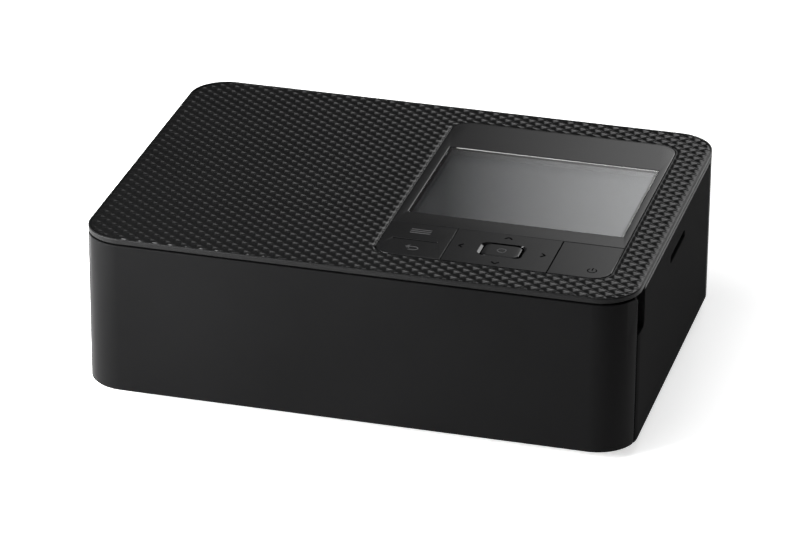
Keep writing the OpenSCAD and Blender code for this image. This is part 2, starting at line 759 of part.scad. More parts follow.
module cover_hinge_pins() {
    color(steel) {
        rod_x([cover_ears[0] - ear_w / 2, cover_ears[0] + 11], [cover_pin_y, hinge_z], pin_r);
        rod_x([cover_ears[1] - 11, cover_ears[1] + ear_w / 2], [cover_pin_y, hinge_z], pin_r);
    }
}

module side_door() {
    gap = [door_ears[0] + ear_w / 2 + loose, door_ears[1] - ear_w / 2 - loose];
    color(black) difference() {
        union() {
            intersection() {
                band([skirt_z, door_top], 0, wall);
                along_x([0, half_w + 1]) difference() {
                    translate([panel_edge, skirt_z]) square([door_back - panel_edge, door_top - skirt_z]);
                    corner_cut([door_back, door_top], 2.5, -1, -1);
                    notch_outline();
                }
            }
            for (z = [skirt_z + 10.5, slot_z - 16.3])
                slab([half_w - wall - rib_t, half_w - wall + 0.2], [notch_back + 8.6, door_back - 8],
                     [z - rib_t / 2, z + rib_t / 2]);
            for (y = [notch_back + 8.6, slot_y - 19.5, slot_y + 20.5, door_back - 8])
                slab([half_w - wall - rib_t, half_w - wall + 0.2], [y - rib_t / 2, y + rib_t / 2],
                     [skirt_z + 8.5, door_top - 4.1]);
            for (y = [gap[0] + 2, gap[1] - 6]) {
                rod_y([y - 2, y + 6], [door_pin_x, hinge_z], knuckle_r);
                slab([door_pin_x, half_w - wall + 0.2], [y - 2, y + 6], [hinge_z, hinge_z + knuckle_r]);
            }
            // catch
            slab([frame_in - 1.4, half_w - wall + 0.2], door_catch, [door_top - 5.2, door_top - 4]);
            slab([frame_in - 1.4, frame_in - 0.4], door_catch, [door_top - 5.9, door_top - 4]);
        }
        // card slot with rounded ends
        along_x([half_w - wall - 3, half_w + 1])
            rounded_rect([slot_y - slot_len / 2, slot_y + slot_len / 2],
                         [slot_z - slot_h / 2, slot_z + slot_h / 2], slot_h / 2 - 0.05);
        for (y = [gap[0] + 2, gap[1] - 6]) rod_y([y - 3, y + 7], [door_pin_x, hinge_z], pin_r + run);
    }
}

module door_hinge_pins() {
    color(steel) {
        rod_y([door_ears[0] - ear_w / 2, door_ears[0] + 11], [door_pin_x, hinge_z], pin_r);
        rod_y([door_ears[1] - 11, door_ears[1] + ear_w / 2], [door_pin_x, hinge_z], pin_r);
    }
}

// ---- control panel ----

key_posts = [
    [panel_x1 + menu_w / 2, rocker_y + 7.5], [panel_x1 + menu_w / 2, rocker_y - 7.5],
    [ok_x, rocker_y + 9.5], [ok_x, rocker_y - 9.5], [ok_x - 13.5, rocker_y], [ok_x + 13.5, rocker_y],
    [ok_x, rocker_y], [(direction_x2 + panel_x2) / 2, rocker_y]
];
board_x = [panel_x1 + 1.5, panel_x2 - 1.5];
board_y = [panel_y1 + 1.5, keys_back - 1.5];
pillars = [for (x = [board_x[0] + 3, board_x[1] - 3], y = [board_y[0] + 2.5, board_y[1] - 2.5]) [x, y]];

module window_outline(grow = 0) {
    x = window_w / 2 + grow;
    translate([window_x - x, window_y1 - grow]) square([2 * x, window_len + 2 * grow]);
}

module post_hole(p, room) {
    r = post_w / 2 + room;
    slab([p[0] - r, p[0] + r], [p[1] - r, p[1] + r], [base_low - 1, base_floor + 1]);
}

module panel_base() {
    color(dark) difference() {
        union() {
            along_z([base_low, deck_z]) rounded_rect([panel_x1 - base_margin, panel_x2 + base_margin],
                                                     [panel_y1 - base_margin, panel_y2 + base_margin],
                                                     panel_corner_r);
            for (p = pillars) rod_z([board_top, base_low], p, 1.8);
        }
        // room under the keys
        along_z([base_floor, deck_z + 1]) intersection() {
            rounded_rect([panel_x1, panel_x2], [panel_y1, panel_y2], panel_corner_r);
            translate([panel_x1, panel_y1]) square([panel_w, key_row]);
        }
        // rocking posts need room, and sliding ones are guided
        for (i = [0:7]) post_hole(key_posts[i], i < 6 ? 1.3 : run);
        along_z([base_low - 1, deck_z + 1]) window_outline(-ledge);
    }
    // rocker rib of the menu and back key
    color(dark) for (x = [panel_x1 + 1, menu_x2 - 4.5])
        slab([x, x + 3.5], [rocker_y - 0.4, rocker_y + 0.4], [base_floor - 0.2, plate_z - 0.05]);
}

module panel_plate() {
    color(dark) along_z([deck_z, panel_top]) difference() {
        intersection() {
            rounded_rect([panel_x1 + key_gap, panel_x2 - key_gap], [panel_y1, panel_y2 - key_gap],
                         panel_corner_r - key_gap);
            translate([panel_x1, keys_back + key_gap / 2]) square([panel_w, panel_len]);
        }
        window_outline();
    }
}

module display_window() {
    color([0.25, 0.26, 0.28, 0.5]) along_z([deck_z, panel_top - 0.2]) window_outline(-0.1);
}

module display_module() {
    color([0.3, 0.31, 0.33]) difference() {
        along_z([base_low - module_t, base_low]) window_outline(2.4);
        along_z([base_low - 0.3, base_low + 1]) window_outline(-0.2);
    }
}

card_top = socket_z[1] + board_t;

module display_holder() {
    color(dark) difference() {
        union() {
            along_z([holder_z, base_low - module_t]) window_outline(3.6);
            along_z([base_low - module_t, base_low]) difference() {
                window_outline(3.6);
                window_outline(2.6);
            }
            // posts that carry the card board
            for (x = [window_x + 10, window_x + 34], y = [slot_y - 10, slot_y + 10])
                rod_z([card_top, holder_z + 0.1], [x, y], 1.9);
        }
        for (i = [0:2]) slab([window_x - 28 + i * 20, window_x - 12 + i * 20], [window_y1 + 8, window_y2 - 8],
                             [holder_z - 1, base_low - 2.3]);
        // way out for the ribbon cable
        slab([window_x - 12, window_x + 12], [window_y1 - 5, window_y1 - 2], [base_low - 2.1, base_low + 1]);
    }
}

module display_ribbon() {
    x = [window_x - 8, window_x + 8];
    low = main_z + board_t;
    color([0.55, 0.35, 0.12]) {
        slab(x, [window_y1 - 5.4, window_y1 - 2.4], [base_low - 1.3, base_low - 1.1]);
        slab(x, [window_y1 - 5.4, window_y1 - 5.2], [low, base_low - 1.1]);
        slab([main_x[1] - 4, x[1]], [window_y1 - 5.4, window_y1 + 4.6], [low, low + 0.2]);
    }
}

module key_top(x, y) {
    along_z([plate_z, panel_top]) intersection() {
        rounded_rect([panel_x1 + key_gap, panel_x2 - key_gap], [panel_y1 + key_gap, panel_y2],
                     panel_corner_r - key_gap);
        translate([x[0] + key_gap / 2, y[0]]) square([x[1] - x[0] - key_gap, y[1] - y[0] - key_gap / 2]);
    }
}

module key_post(p) {
    slab([p[0] - post_w / 2, p[0] + post_w / 2], [p[1] - post_w / 2, p[1] + post_w / 2],
         [post_low, plate_z + 0.1]);
}

module menu_back_key() {
    color(dark) difference() {
        union() {
            key_top([panel_x1, menu_x2], [panel_y1, keys_back]);
            for (i = [0, 1]) key_post(key_posts[i]);
        }
        // slit between its two halves
        slab([panel_x1 + 4, menu_x2 - 3.8], [rocker_y - 0.2, rocker_y + 0.2], [panel_top - 0.4, body_h]);
    }
}

module direction_key() {
    color(dark) difference() {
        union() {
            key_top([menu_x2, direction_x2], [panel_y1, keys_back]);
            for (i = [2:5]) key_post(key_posts[i]);
        }
        along_z([plate_z - 1, body_h])
            rounded_rect([ok_x - ok_w / 2 - 0.6, ok_x + ok_w / 2 + 0.6],
                         [rocker_y - ok_hole_len / 2, rocker_y + ok_hole_len / 2], 2.4);
        // ring sunk round the OK key
        along_z([panel_top - 0.35, body_h])
            rounded_rect([ok_x - ok_hole_w / 2, ok_x + ok_hole_w / 2],
                         [rocker_y - ok_hole_len / 2, rocker_y + ok_hole_len / 2], 2.4);
    }
}

// ring under the direction key: it rocks left and right, and the key rocks front and back on it
module direction_key_seat() {
    z = [base_floor + 0.06, plate_z - 0.06];
    color(rubber) difference() {
        along_z(z) rounded_rect([ok_x - 10, ok_x + 10], [rocker_y - 6.4, rocker_y + 6.4], 3);
        along_z([z[0] - 1, z[1] + 1])
            rounded_rect([ok_x - 7.4, ok_x + 7.4], [rocker_y - 5.2, rocker_y + 5.2], 2.4);
        // it bears on a narrow line under the middle, and carries the key on another across it
        for (s = [-1, 1]) {
            slab(s > 0 ? [ok_x + 0.6, ok_x + 11] : [ok_x - 11, ok_x - 0.6], [rocker_y - 8, rocker_y + 8],
                 [z[0] - 1, z[0] + 0.25]);
            slab([ok_x - 12, ok_x + 12],
                 s > 0 ? [rocker_y + 0.6, rocker_y + 8] : [rocker_y - 8, rocker_y - 0.6],
                 [z[1] - 0.15, z[1] + 1]);
        }
    }
}

module ok_key() {
    color(dark) {
        along_z([plate_z, panel_top - 0.1]) rounded_rect([ok_x - ok_w / 2, ok_x + ok_w / 2],
                                                         [rocker_y - ok_len / 2, rocker_y + ok_len / 2], 2);
        key_post(key_posts[6]);
    }
}

module power_key() {
    color(dark) {
        key_top([direction_x2, panel_x2], [panel_y1, keys_back]);
        key_post(key_posts[7]);
    }
}

module key_board() {
    color(board_green) along_z([board_top - board_t, board_top])
        rounded_rect(board_x, board_y, 2);
}

module tact_switches() {
    color(steel) for (p = key_posts) {
        slab([p[0] - switch_w / 2, p[0] + switch_w / 2], [p[1] - switch_w / 2, p[1] + switch_w / 2],
             [board_top, board_top + switch_h]);
        rod_z([board_top + switch_h, board_top + switch_h + 0.5], p, 1);
    }
}

// ---- print mechanism ----

module plate_outline() {
    difference() {
        union() {
            rounded_rect([plate_front, plate_back], [plate_low, plate_high], stay_r);
            // raised at the back, where it carries the cam shaft
            rounded_rect([slot_y + card_half + 1, plate_back], [plate_low, holder_z - 0.4], carrier_t);
        }
        // slot that guides the head carrier
        translate([platen_at[0] - ear_half - 0.1, carrier_z - 0.6])
            square([2 * ear_half + 0.2, carrier_t + head_lift + 1.2]);
        translate([cam_y, cam_z]) circle(r = cam_shaft_r + run);
        translate(pickup_pivot) circle(r = axle_r);
    }
}

stay_z = [mouth_top + 2, mouth_top + 12];
standoff_r = 2.5;
pivot_boss_r = 3.2;

module mechanism_frame() {
    color(steel) difference() {
        union() {
            // left plate
            along_x([-plate_out, -plate_x]) difference() {
                plate_outline();
                rounded_rect([plate_front + 2 * pivot_step, plate_front + 5 * pivot_step],
                             [paper_z - 5, paper_z + 7], stay_r);
                translate(take_up_at) circle(r = hub_r + run);
            }
            // right plate, open for the ink cassette
            along_x([plate_x, plate_out]) difference() {
                plate_outline();
                rounded_rect(ink_mouth_y, ink_mouth_z, stay_r);
                // room for the card socket and for the connector board
                translate([slot_y - card_half + 1, socket_z[0] - loose]) square([2 * card_half - 2, body_h]);
                translate([board_front - 1, plate_low - 1])
                    square([board_in, connector_z + board_t + 2.2 - plate_low]);
                // way for the film that hangs between the spools
                polygon([[platen_at[0] - 13, ink_mouth_z[0] + 1.6], [platen_at[0] + 13, ink_mouth_z[0] + 1.6],
                         [platen_at[0] + 2, paper_z - 0.6], [platen_at[0] - 2, paper_z - 0.6]]);
            }
            for (y = left_feet)
                slab([-plate_x - foot_reach, -plate_x - 0.1], [y - foot_len / 2, y + foot_len / 2],
                     [plate_low, plate_low + sheet_t]);
            for (y = right_feet)
                slab([plate_x + 0.1, plate_x + foot_reach], [y - foot_len / 2, y + foot_len / 2],
                     [plate_low, plate_low + sheet_t]);
            // front stay over the paper compartment
            slab([-plate_x - 0.2, plate_x + 0.2], [plate_front + 0.6, plate_front + 0.6 + sheet_t], stay_z);
            slab([-plate_x - 0.2, plate_x + 0.2], [plate_front + 1, plate_front + foot_len],
                 [stay_z[1] - sheet_t, stay_z[1]]);
        }
        rod_x([-plate_out - 1, plate_out + 1], feed_at, journal_r + run);
        rod_x([-plate_out - 1, plate_out + 1], platen_at, journal_r + run);
        for (p = [idler_at, ribbon_idler_at, reduction_at]) rod_x([-plate_out - 1, -plate_x + 1], p, axle_r);
        rod_x([-plate_out - 1, plate_out + 1], pinch_at, pinch_pin_r + run);
    }
}

module gear_cover() {
    standoffs = [[plate_front + pivot_step, plate_low + foot_len],
                 [plate_front + pivot_step, plate_high - foot_len],
                 [plate_back - foot_len / 2, plate_low + foot_len / 2],
                 [plate_back - foot_len / 2, plate_high - foot_len / 2]];
    color(dark) difference() {
        union() {
            along_x(gear_cover_x) difference() {
                rounded_rect([plate_front + 2, plate_back], [plate_low + 1, plate_high - 1], stay_r);
                rounded_rect([plate_front + foot_len + 2, reduction_at[0] - motor_r - pitch_r(wheel_teeth)],
                             [plate_low + foot_len, plate_high - 1.5 * foot_len], stay_r);
                translate([take_up_at[0], take_up_at[1]]) circle(r = stub_r + run);
            }
            for (p = standoffs) rod_x([gear_cover_x[1] - 0.2, -plate_out], p, standoff_r);
        }
        for (p = [ribbon_idler_at, reduction_at])
            rod_x([gear_cover_x[0] - 1, gear_cover_x[1] + 1], p, axle_r);
        for (p = [feed_at, platen_at]) rod_x([gear_cover_x[0] - 1, gear_cover_x[1] + 1], p, journal_r + 0.5);
        rod_x([gear_cover_x[0] - 1, gear_cover_x[1] + 1], motor_at, bushing_r + 0.1);
    }
}

motor_shaft_r = 0.75;
bushing_r = 2.5;
motor_x = [-half_w + wall + 0.6, gear_cover_x[0]];

module feed_motor() {
    color(steel) {
        rod_x([motor_x[0] + 0.4, motor_x[1]], motor_at, motor_r);
        rod_x([motor_x[0], motor_x[0] + 0.4], motor_at, bushing_r + 0.5);
        difference() {
            rod_x([motor_x[1] - 0.1, motor_x[1] + 1], motor_at, bushing_r);
            rod_x([motor_x[1], motor_x[1] + 2], motor_at, motor_shaft_r + run);
        }
    }
}

module motor_pinion() {
    color(nylon) {
        gear(gear_b, motor_at, pinion_teeth, motor_turn, motor_shaft_r / 2);
        rod_x([motor_x[1] + 0.1, gear_b[1]], motor_at, motor_shaft_r);
    }
}

module reduction_gear() {
    color(nylon) {
        gear(gear_a, reduction_at, pinion_teeth, reduction_turn, axle_r + run);
        gear(gear_b, reduction_at, wheel_teeth, reduction_turn, axle_r + run);
        difference() {
            rod_x([gear_b[1] - 0.1, gear_a[0] + 0.1], reduction_at, pitch_r(pinion_teeth) - 0.7);
            rod_x([gear_b[1] - 1, gear_a[0] + 1], reduction_at, axle_r + run);
        }
    }
}

module gear_axles() {
    color(steel) {
        for (p = [ribbon_idler_at, reduction_at]) rod_x([gear_cover_x[0], -plate_x], p, axle_r);
        // the first idler's axle ends before the reduction wheel
        rod_x([gear_a[0] - 0.4, -plate_x], idler_at, axle_r);
    }
}

module feed_roller() {
    color(steel) {
        rod_x([-roller_half, roller_half], feed_at, feed_r);
        rod_x([gear_a[0] - 0.3, plate_out + 0.8], feed_at, journal_r);
    }
}

module feed_gear() {
    color(nylon) gear(gear_a, feed_at, feed_teeth, feed_turn, journal_r);
}

module platen_roller() {
    color(rubber) rod_x([-roller_half + 2, roller_half - 2], platen_at, platen_r);
    color(steel) rod_x([gear_a[0] - 0.3, plate_out + 0.8], platen_at, journal_r);
}

module platen_gear() {
    color(nylon) gear(gear_a, platen_at, platen_teeth, platen_turn, journal_r);
}

module platen_idler() {
    color(nylon) gear(gear_a, idler_at, idler_teeth, idler_turn, axle_r + run);
}

module ribbon_idler() {
    color(nylon) difference() {
        gear(gear_a, ribbon_idler_at, ribbon_idler_teeth, ribbon_idler_turn, axle_r + run);
        for (i = [0:4]) rod_x([gear_a[0] - 1, gear_a[1] + 1],
                              ribbon_idler_at + 5 * [cos(i * 72), sin(i * 72)], 1.6);
    }
}

module ribbon_drive() {
    color(nylon) {
        gear(gear_a, take_up_at, ribbon_teeth, ribbon_turn, 0.1);
        rod_x([gear_cover_x[0], gear_a[0] + 0.1], take_up_at, stub_r);
        rod_x([gear_a[0], -plate_x + 0.4], take_up_at, hub_r);
        rod_x([-plate_x, ink_left + spindle_len], take_up_at, spindle_r);
        for (i = [0:3]) translate([-plate_x, take_up_at[0], take_up_at[1]]) rotate([45 + i * 90, 0, 0])
            translate([0, -0.5, 0]) cube([ink_left + spindle_len - 1 + plate_x, 1, spindle_r + 0.8]);
    }
}

module pinch_roller() {
    color(steel) {
        rod_x([-roller_half + 3, roller_half - 3], pinch_at, pinch_r);
        rod_x([-plate_out - 0.4, plate_out + 0.4], pinch_at, pinch_pin_r);
    }
}

module pinch_holder() {
    y = pinch_at[0];
    z = pinch_at[1] + pinch_r;
    color(dark) {
        slab([-plate_x, plate_x], [y - pinch_r - 1.1, y + pinch_r - 0.3], [z + 0.5, z + 0.5 + rib_t]);
        slab([-plate_x, plate_x], [y - pinch_r - 1.1, y - pinch_r - 0.3], [z - pinch_r, z + 0.5 + rib_t]);
        for (s = [-1, 1]) slab(s > 0 ? [plate_x - fascia_t, plate_x] : [-plate_x, -plate_x + fascia_t],
                               [y - pinch_r - 1.1, y + pinch_r - 0.3], [z - 0.7, z + 0.5 + rib_t]);
    }
}

cheek_h = 6.8;

module thermal_head() {
    y = platen_at[0];
    color([0.75, 0.72, 0.66]) {
        along_x([-head_half, head_half]) polygon([
            [y - head_deep, head_base], [y - 0.6, film_tip + 0.3],
            [y + 0.6, film_tip + 0.3], [y + head_deep, head_base]
        ]);
        // finned heat sink
        slab([-head_half, head_half], [y - head_deep, y + head_deep], [head_base, head_base + 3]);
        for (i = [0:4]) let (at = y - head_deep + i * fin_step)
            slab([-head_half, head_half], [at, at + fin_step / 2], [head_base + 3, carrier_z]);
    }
}

module head_carrier() {
    y = platen_at[0];
    color(steel) {
        slab([-plate_x + loose, plate_x - loose], [y - head_deep - 0.6, y + head_deep + 0.6],
             [carrier_z, carrier_z + carrier_t]);
        for (s = [-1, 1]) slab(s > 0 ? [plate_x - 1, plate_out + 0.6] : [-plate_out - 0.6, -plate_x + 1],
                               [y - ear_half, y + ear_half], [carrier_z, carrier_z + carrier_t]);
        // side cheeks that hold the head
        for (s = [-1, 1]) slab(s > 0 ? [head_half, head_half + sheet_t] : [-head_half - sheet_t, -head_half],
                               [y - head_deep, y + head_deep], [carrier_z - cheek_h, carrier_z + 0.2]);
    }
}

// the cams let the head rise evenly as they turn: an even spiral over half a turn, then a return
module cam_outline() {
    polygon([for (a = [0:6:354])
        (a <= 180 ? cam_r - head_lift * a / 180 : cam_r - head_lift * min(1, (360 - a) / 120))
        * [cos(a - 90), sin(a - 90)]]);
}

module head_cam_shaft() {
    color(nylon) {
        for (x = [-plate_x + 3.8, plate_x - 5.8])
            along_x([x, x + cam_w]) translate([cam_y, cam_z]) cam_outline();
        rod_x([-plate_out - 2, plate_out + 1], [cam_y, cam_z], cam_shaft_r);
        rod_x([-plate_out - 3, -plate_out - 1], [cam_y, cam_z], cam_r - 0.2);
    }
}

module pickup_shaft() {
    color(steel) rod_x([-plate_out, plate_out], pickup_pivot, axle_r);
}

arm_half = 16;
tyre_w = 10;
tyre_pin_r = 1;

module pickup_arm() {
    color(dark) difference() {
        union() {
            for (s = [-1, 1]) {
                x = s > 0 ? [arm_half - 2, arm_half] : [-arm_half, -arm_half + 2];
                rod_x(x, pickup_pivot, pivot_boss_r);
                rod_x(x, pickup_at, pivot_boss_r - 0.6);
                along_x(x) polygon([
                    pickup_pivot + [1.2, 2.9], pickup_pivot + [-1.4, -2.8],
                    pickup_at + [-1.2, -2.2], pickup_at + [1.2, 2.2]
                ]);
            }
            rod_x([-arm_half, arm_half], pickup_pivot, pivot_boss_r);
        }
        rod_x([-arm_half - 1, arm_half + 1], pickup_pivot, axle_r + run);
        rod_x([-arm_half - 1, arm_half + 1], pickup_at, tyre_pin_r + run);
    }
}

module pickup_roller() {
    color(steel) rod_x([-arm_half - 0.5, arm_half + 0.5], pickup_at, tyre_pin_r);
    color(rubber) for (x = [-tyre_w - 2, 2]) rod_x([x, x + tyre_w], pickup_at, pickup_r);
    color(nylon) rod_x([-2.2, 2.2], pickup_at, pickup_r - 2);
}

module paper_guide() {
    y = [platen_at[0] + platen_r + 1, back - hood_in - 0.2];
    guide_low = paper_z - 2.6;
    color(dark) {
        slab([-roller_half, roller_half], y, [guide_low, guide_low + rib_t]);
        for (i = [-3:3]) let (x = i * roller_half / 3.5)
            slab([x - rib_t / 2, x + rib_t / 2], y, [guide_low + 1, paper_z - 0.5]);
        for (x = [-plate_x, roller_half]) slab([x, x + bay_in], y, [guide_low, paper_z + 2.5]);
    }
}

// ---- ink cassette ----

// spool housing: a tube with its lower inner side open for the film
module spool_case_outline(at, s) {
    translate(at) difference() {
        circle(r = spool_case_r);
        circle(r = spool_case_r - ink_wall);
        polygon(spool_case_r * [[0, 0], [s * 1.3, -0.28], [s * 1.3, -0.83]]);
    }
}

module end_plate_outline() {
    for (at = [supply_at, take_up_at]) translate(at) circle(r = spool_case_r);
    translate([supply_at[0], spool_z - 0.46 * spool_case_r]) square([spool_pitch, 1.28 * spool_case_r]);
}

grip_y = [supply_at[0] + hub_r, take_up_at[0] - hub_r];

module ink_cassette_case() {
    color([0.2, 0.2, 0.22]) {
        along_x([ink_left, ink_end]) {
            spool_case_outline(supply_at, 1);
            spool_case_outline(take_up_at, -1);
        }
        // left end, open for the drive spindle
        along_x([ink_left - ink_wall, ink_left]) difference() {
            end_plate_outline();
            translate(take_up_at) circle(r = core_r + 1.5);
            translate(supply_at) circle(r = stub_r + run);
        }
        // right end and grip
        along_x([ink_end, ink_end + ink_wall]) difference() {
            end_plate_outline();
            for (at = [supply_at, take_up_at]) translate(at) circle(r = stub_r + run);
        }
        slab([ink_end + 1, ink_right], grip_y, [spool_z - 3, spool_z - 3 + ink_wall]);
        slab([ink_right - ink_wall, ink_right], grip_y, [spool_z - 3, spool_z + grip_reach - 3]);
    }
}

module spool(at, wound_r) {
    rod_x([ink_left + 0.6, ink_end - 0.6], at, core_r);
    rod_x([ink_left + spindle_len + stub_r, ink_end - stub_r], at, wound_r);
    rod_x([ink_end - 1, ink_end + ink_wall + 0.5], at, stub_r);
}

module supply_spool() {
    color([0.16, 0.14, 0.15]) {
        spool(supply_at, full_r);
        rod_x([ink_left - ink_wall - 0.5, ink_left + 1], supply_at, stub_r);
    }
}

module take_up_spool() {
    color([0.16, 0.14, 0.15]) difference() {
        spool(take_up_at, core_r + 0.46 * (full_r - core_r));
        rod_x([ink_left - 1, ink_left + spindle_len + 1.4], take_up_at, spindle_r + 1.1);
    }
}

// film stretched under the head, from one housing's slit to the other's
module ribbon_film() {
    y = platen_at[0];
    path = [supply_at + spool_case_r * [0.89, -0.41], [y - 6.6, head_base - 0.4], [y - 0.8, film_tip],
            [y + 0.8, film_tip], [y + 6.6, head_base - 0.4], take_up_at + spool_case_r * [-0.89, -0.41]];
    color([0.1, 0.1, 0.1]) along_x([ink_left, head_half + 0.5])
        polygon(concat(path, [for (i = [5:-1:0]) path[i] - [0, film_t]]));
}

module ink_eject_lever() {
    z = lever_z;
    color([0.35, 0.36, 0.38]) difference() {
        union() {
            rod_z(z, lever_at, lever_r);
            along_z(z) translate(lever_at)
                polygon([[-1.5, -2.6], [lever_len, -2.6], [lever_len, 1.4], [0, lever_r]]);
            slab([lever_at[0] + lever_len - 1.6, lever_at[0] + lever_len],
                 [lever_at[1] - 2.6, lever_at[1] + 1.4], [z[0], z[1] + 1.4]);
        }
        rod_z([z[0] - 1, z[1] + 1], lever_at, axle_r + run);
    }
}

// ---- electronics ----

board_edge = 4;
chip_h = 1.6;
cap_r = 2.6;
main_x = [left_screw_x + boss_r + 0.3, panel_x1 - 12.5];
main_y = [front + 12, slot_y + 14.5];

module chip(x, y, side, high) {
    slab([x, x + side], [y, y + side], [main_z + board_t, main_z + board_t + high]);
}

module main_board() {
    color(board_green) slab(main_x, main_y, [main_z, main_z + board_t]);
    color(dark) {
        chip(main_x[0] + 4 * board_edge, main_y[0] + 6 * board_edge, 4 * board_edge, chip_h);
        chip(main_x[1] - 6 * board_edge, main_y[0] + board_edge, 3 * board_edge, 0.75 * chip_h);
        chip(main_x[1] - 5 * board_edge, main_y[1] - 5 * board_edge, 3 * board_edge, chip_h);
        for (i = [0:3]) rod_z([main_z + board_t, main_z + board_t + cap_h],
                              [main_x[0] + board_edge, main_y[0] + (4.2 + 2.2 * i) * board_edge], cap_r);
    }
}

card_len = 30;
socket_x = [frame_in - card_len, frame_in - 0.4];

module card_board() {
    color(board_green) slab([socket_x[0] - 1.5 * board_edge, socket_x[1]],
                            [slot_y - card_half, slot_y + card_half], [socket_z[1], card_top]);
}

module card_socket() {
    color(steel) difference() {
        slab(socket_x, [slot_y - slot_len / 2 - 2.5, slot_y + slot_len / 2 + 2.5], socket_z);
        slab([socket_x[0] + 3, socket_x[1] + 1], [slot_y - slot_len / 2 - 1.1, slot_y + slot_len / 2 + 1.1],
             [slot_z - 1.25, slot_z + 1.25]);
    }
}

module connector_board() {
    color(board_green) slab([board_x1, board_x2], [board_front, back - hood_in + 0.4],
                            [connector_z, connector_z + board_t]);
}

usb_len = 11;
jack_len = 17;

module usb_socket() {
    z = connector_z + board_t;
    color(steel) difference() {
        along_y([back - usb_len, back - wall])
            rounded_rect([usb_at[0] - usb_half, usb_at[0] + usb_half], [z, usb_at[1] + 1.7], 1.4);
        along_y([back - usb_len + 1, back])
            rounded_rect([usb_at[0] - usb_half + 0.5, usb_at[0] + usb_half - 0.5],
                         [z + 0.5, usb_at[1] + 1.2], 0.9);
    }
    color(dark) slab([usb_at[0] - usb_half + 1.4, usb_at[0] + usb_half - 1.4],
                     [back - usb_len + 0.5, back - 4], [usb_at[1] - 0.75, usb_at[1] - 0.25]);
}

module dc_jack() {
    color(dark) difference() {
        union() {
            slab([jack_at[0] - jack_half, jack_at[0] + jack_half], [back - jack_len, back - hood_in + 0.4],
                 [connector_z + board_t, jack_at[1] + jack_half]);
            rod_y([back - hood_in, back - 1.2], jack_at, jack_r);
        }
        rod_y([back - jack_len + 3, back], jack_at, jack_r - 1.1);
    }
    color(steel) rod_y([back - jack_len + 2.8, back - 3], jack_at, 0.9);
}

base_tray();
rubber_feet();
case_screws();
rear_shell();
side_frame();
front_fascia();
top_cover();
front_cover();
cover_hinge_pins();
side_door();
door_hinge_pins();
panel_base();
panel_plate();
display_window();
display_module();
display_holder();
display_ribbon();
menu_back_key();
direction_key();
direction_key_seat();
ok_key();
power_key();
key_board();
tact_switches();
mechanism_frame();
gear_cover();
feed_motor();
motor_pinion();
reduction_gear();
gear_axles();
feed_roller();
feed_gear();
platen_roller();
platen_gear();
platen_idler();
ribbon_idler();
ribbon_drive();
pinch_roller();
pinch_holder();
thermal_head();
head_carrier();
head_cam_shaft();
pickup_shaft();
pickup_arm();
pickup_roller();
paper_guide();
ink_cassette_case();
supply_spool();
take_up_spool();
ribbon_film();
ink_eject_lever();
main_board();
card_board();
card_socket();
connector_board();
usb_socket();
dc_jack();
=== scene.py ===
# Looks of the compact photo printer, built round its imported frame.
# Shapes are worked out in millimetres, in the frame's own axes, and made metres when a piece is added.
import json
import math

import bmesh
import bpy
import numpy as np
from mathutils import Matrix, Vector
from mathutils.geometry import delaunay_2d_cdt


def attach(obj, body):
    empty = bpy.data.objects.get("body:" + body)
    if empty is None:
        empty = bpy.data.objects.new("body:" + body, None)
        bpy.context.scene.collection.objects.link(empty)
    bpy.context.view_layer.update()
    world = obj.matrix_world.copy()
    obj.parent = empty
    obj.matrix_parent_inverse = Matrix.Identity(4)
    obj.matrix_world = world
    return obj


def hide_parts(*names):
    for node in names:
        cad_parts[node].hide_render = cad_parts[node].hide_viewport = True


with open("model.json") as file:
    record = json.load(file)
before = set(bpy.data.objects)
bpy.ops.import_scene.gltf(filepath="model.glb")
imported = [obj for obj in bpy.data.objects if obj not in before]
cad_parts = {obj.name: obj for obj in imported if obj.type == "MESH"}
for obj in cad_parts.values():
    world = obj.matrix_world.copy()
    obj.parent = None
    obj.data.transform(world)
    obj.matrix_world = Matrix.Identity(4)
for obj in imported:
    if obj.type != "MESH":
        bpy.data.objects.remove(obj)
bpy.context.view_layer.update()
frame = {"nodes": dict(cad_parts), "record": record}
mm = 0.001
tiny = 1e-6  # lengths in millimetres that count as nothing

casing = dict(halfWidth=91.1, front=-66.5, back=66.5, top=57.6, frontRadius=13.5, rearRadius=13.0,
              wall=2.2, skirt=3.5, rim=55.8, coverTop=55.2, shellTop=55.55, doorTop=54.1,
              coverEdge=-56.6, doorFront=-56.15, doorBack=52.0)
panel = dict(left=2.5, right=79.9, front=-52.0, back=55.4, radius=6.0, gap=0.3, floor=55.8, top=57.3,
             keysBack=-27.5, menuRight=25.0, directionRight=59.7, rocker=-39.75, edge=0.22, backEdge=0.05)


# Shapes: a shape is its points and a list of face arrays.

def gridFaces(rows, columns, wrapRows=False, wrapColumns=False):
    # quads between neighbouring points of a grid stored row after row
    r = np.arange(rows if wrapRows else rows - 1)[:, None]
    c = np.arange(columns if wrapColumns else columns - 1)[None, :]
    r2, c2 = (r + 1) % rows, (c + 1) % columns
    quads = [r * columns + c, r * columns + c2, r2 * columns + c2, r2 * columns + c]
    return np.stack(quads, -1).reshape(-1, 4)


def join(*shapes):
    # several shapes as one
    points, faces, start = [], [], 0
    for shapePoints, shapeFaces in shapes:
        points.append(shapePoints)
        faces += [block + start for block in shapeFaces]
        start += len(shapePoints)
    return np.concatenate(points), faces


def arcPoints(centre, radius, start, end, count):
    # points of a circle: centre plus radius times the cosine and sine of the angle
    a = np.radians(np.linspace(start, end, count))
    return np.stack([centre[0] + radius * np.cos(a), centre[1] + radius * np.sin(a)], -1)


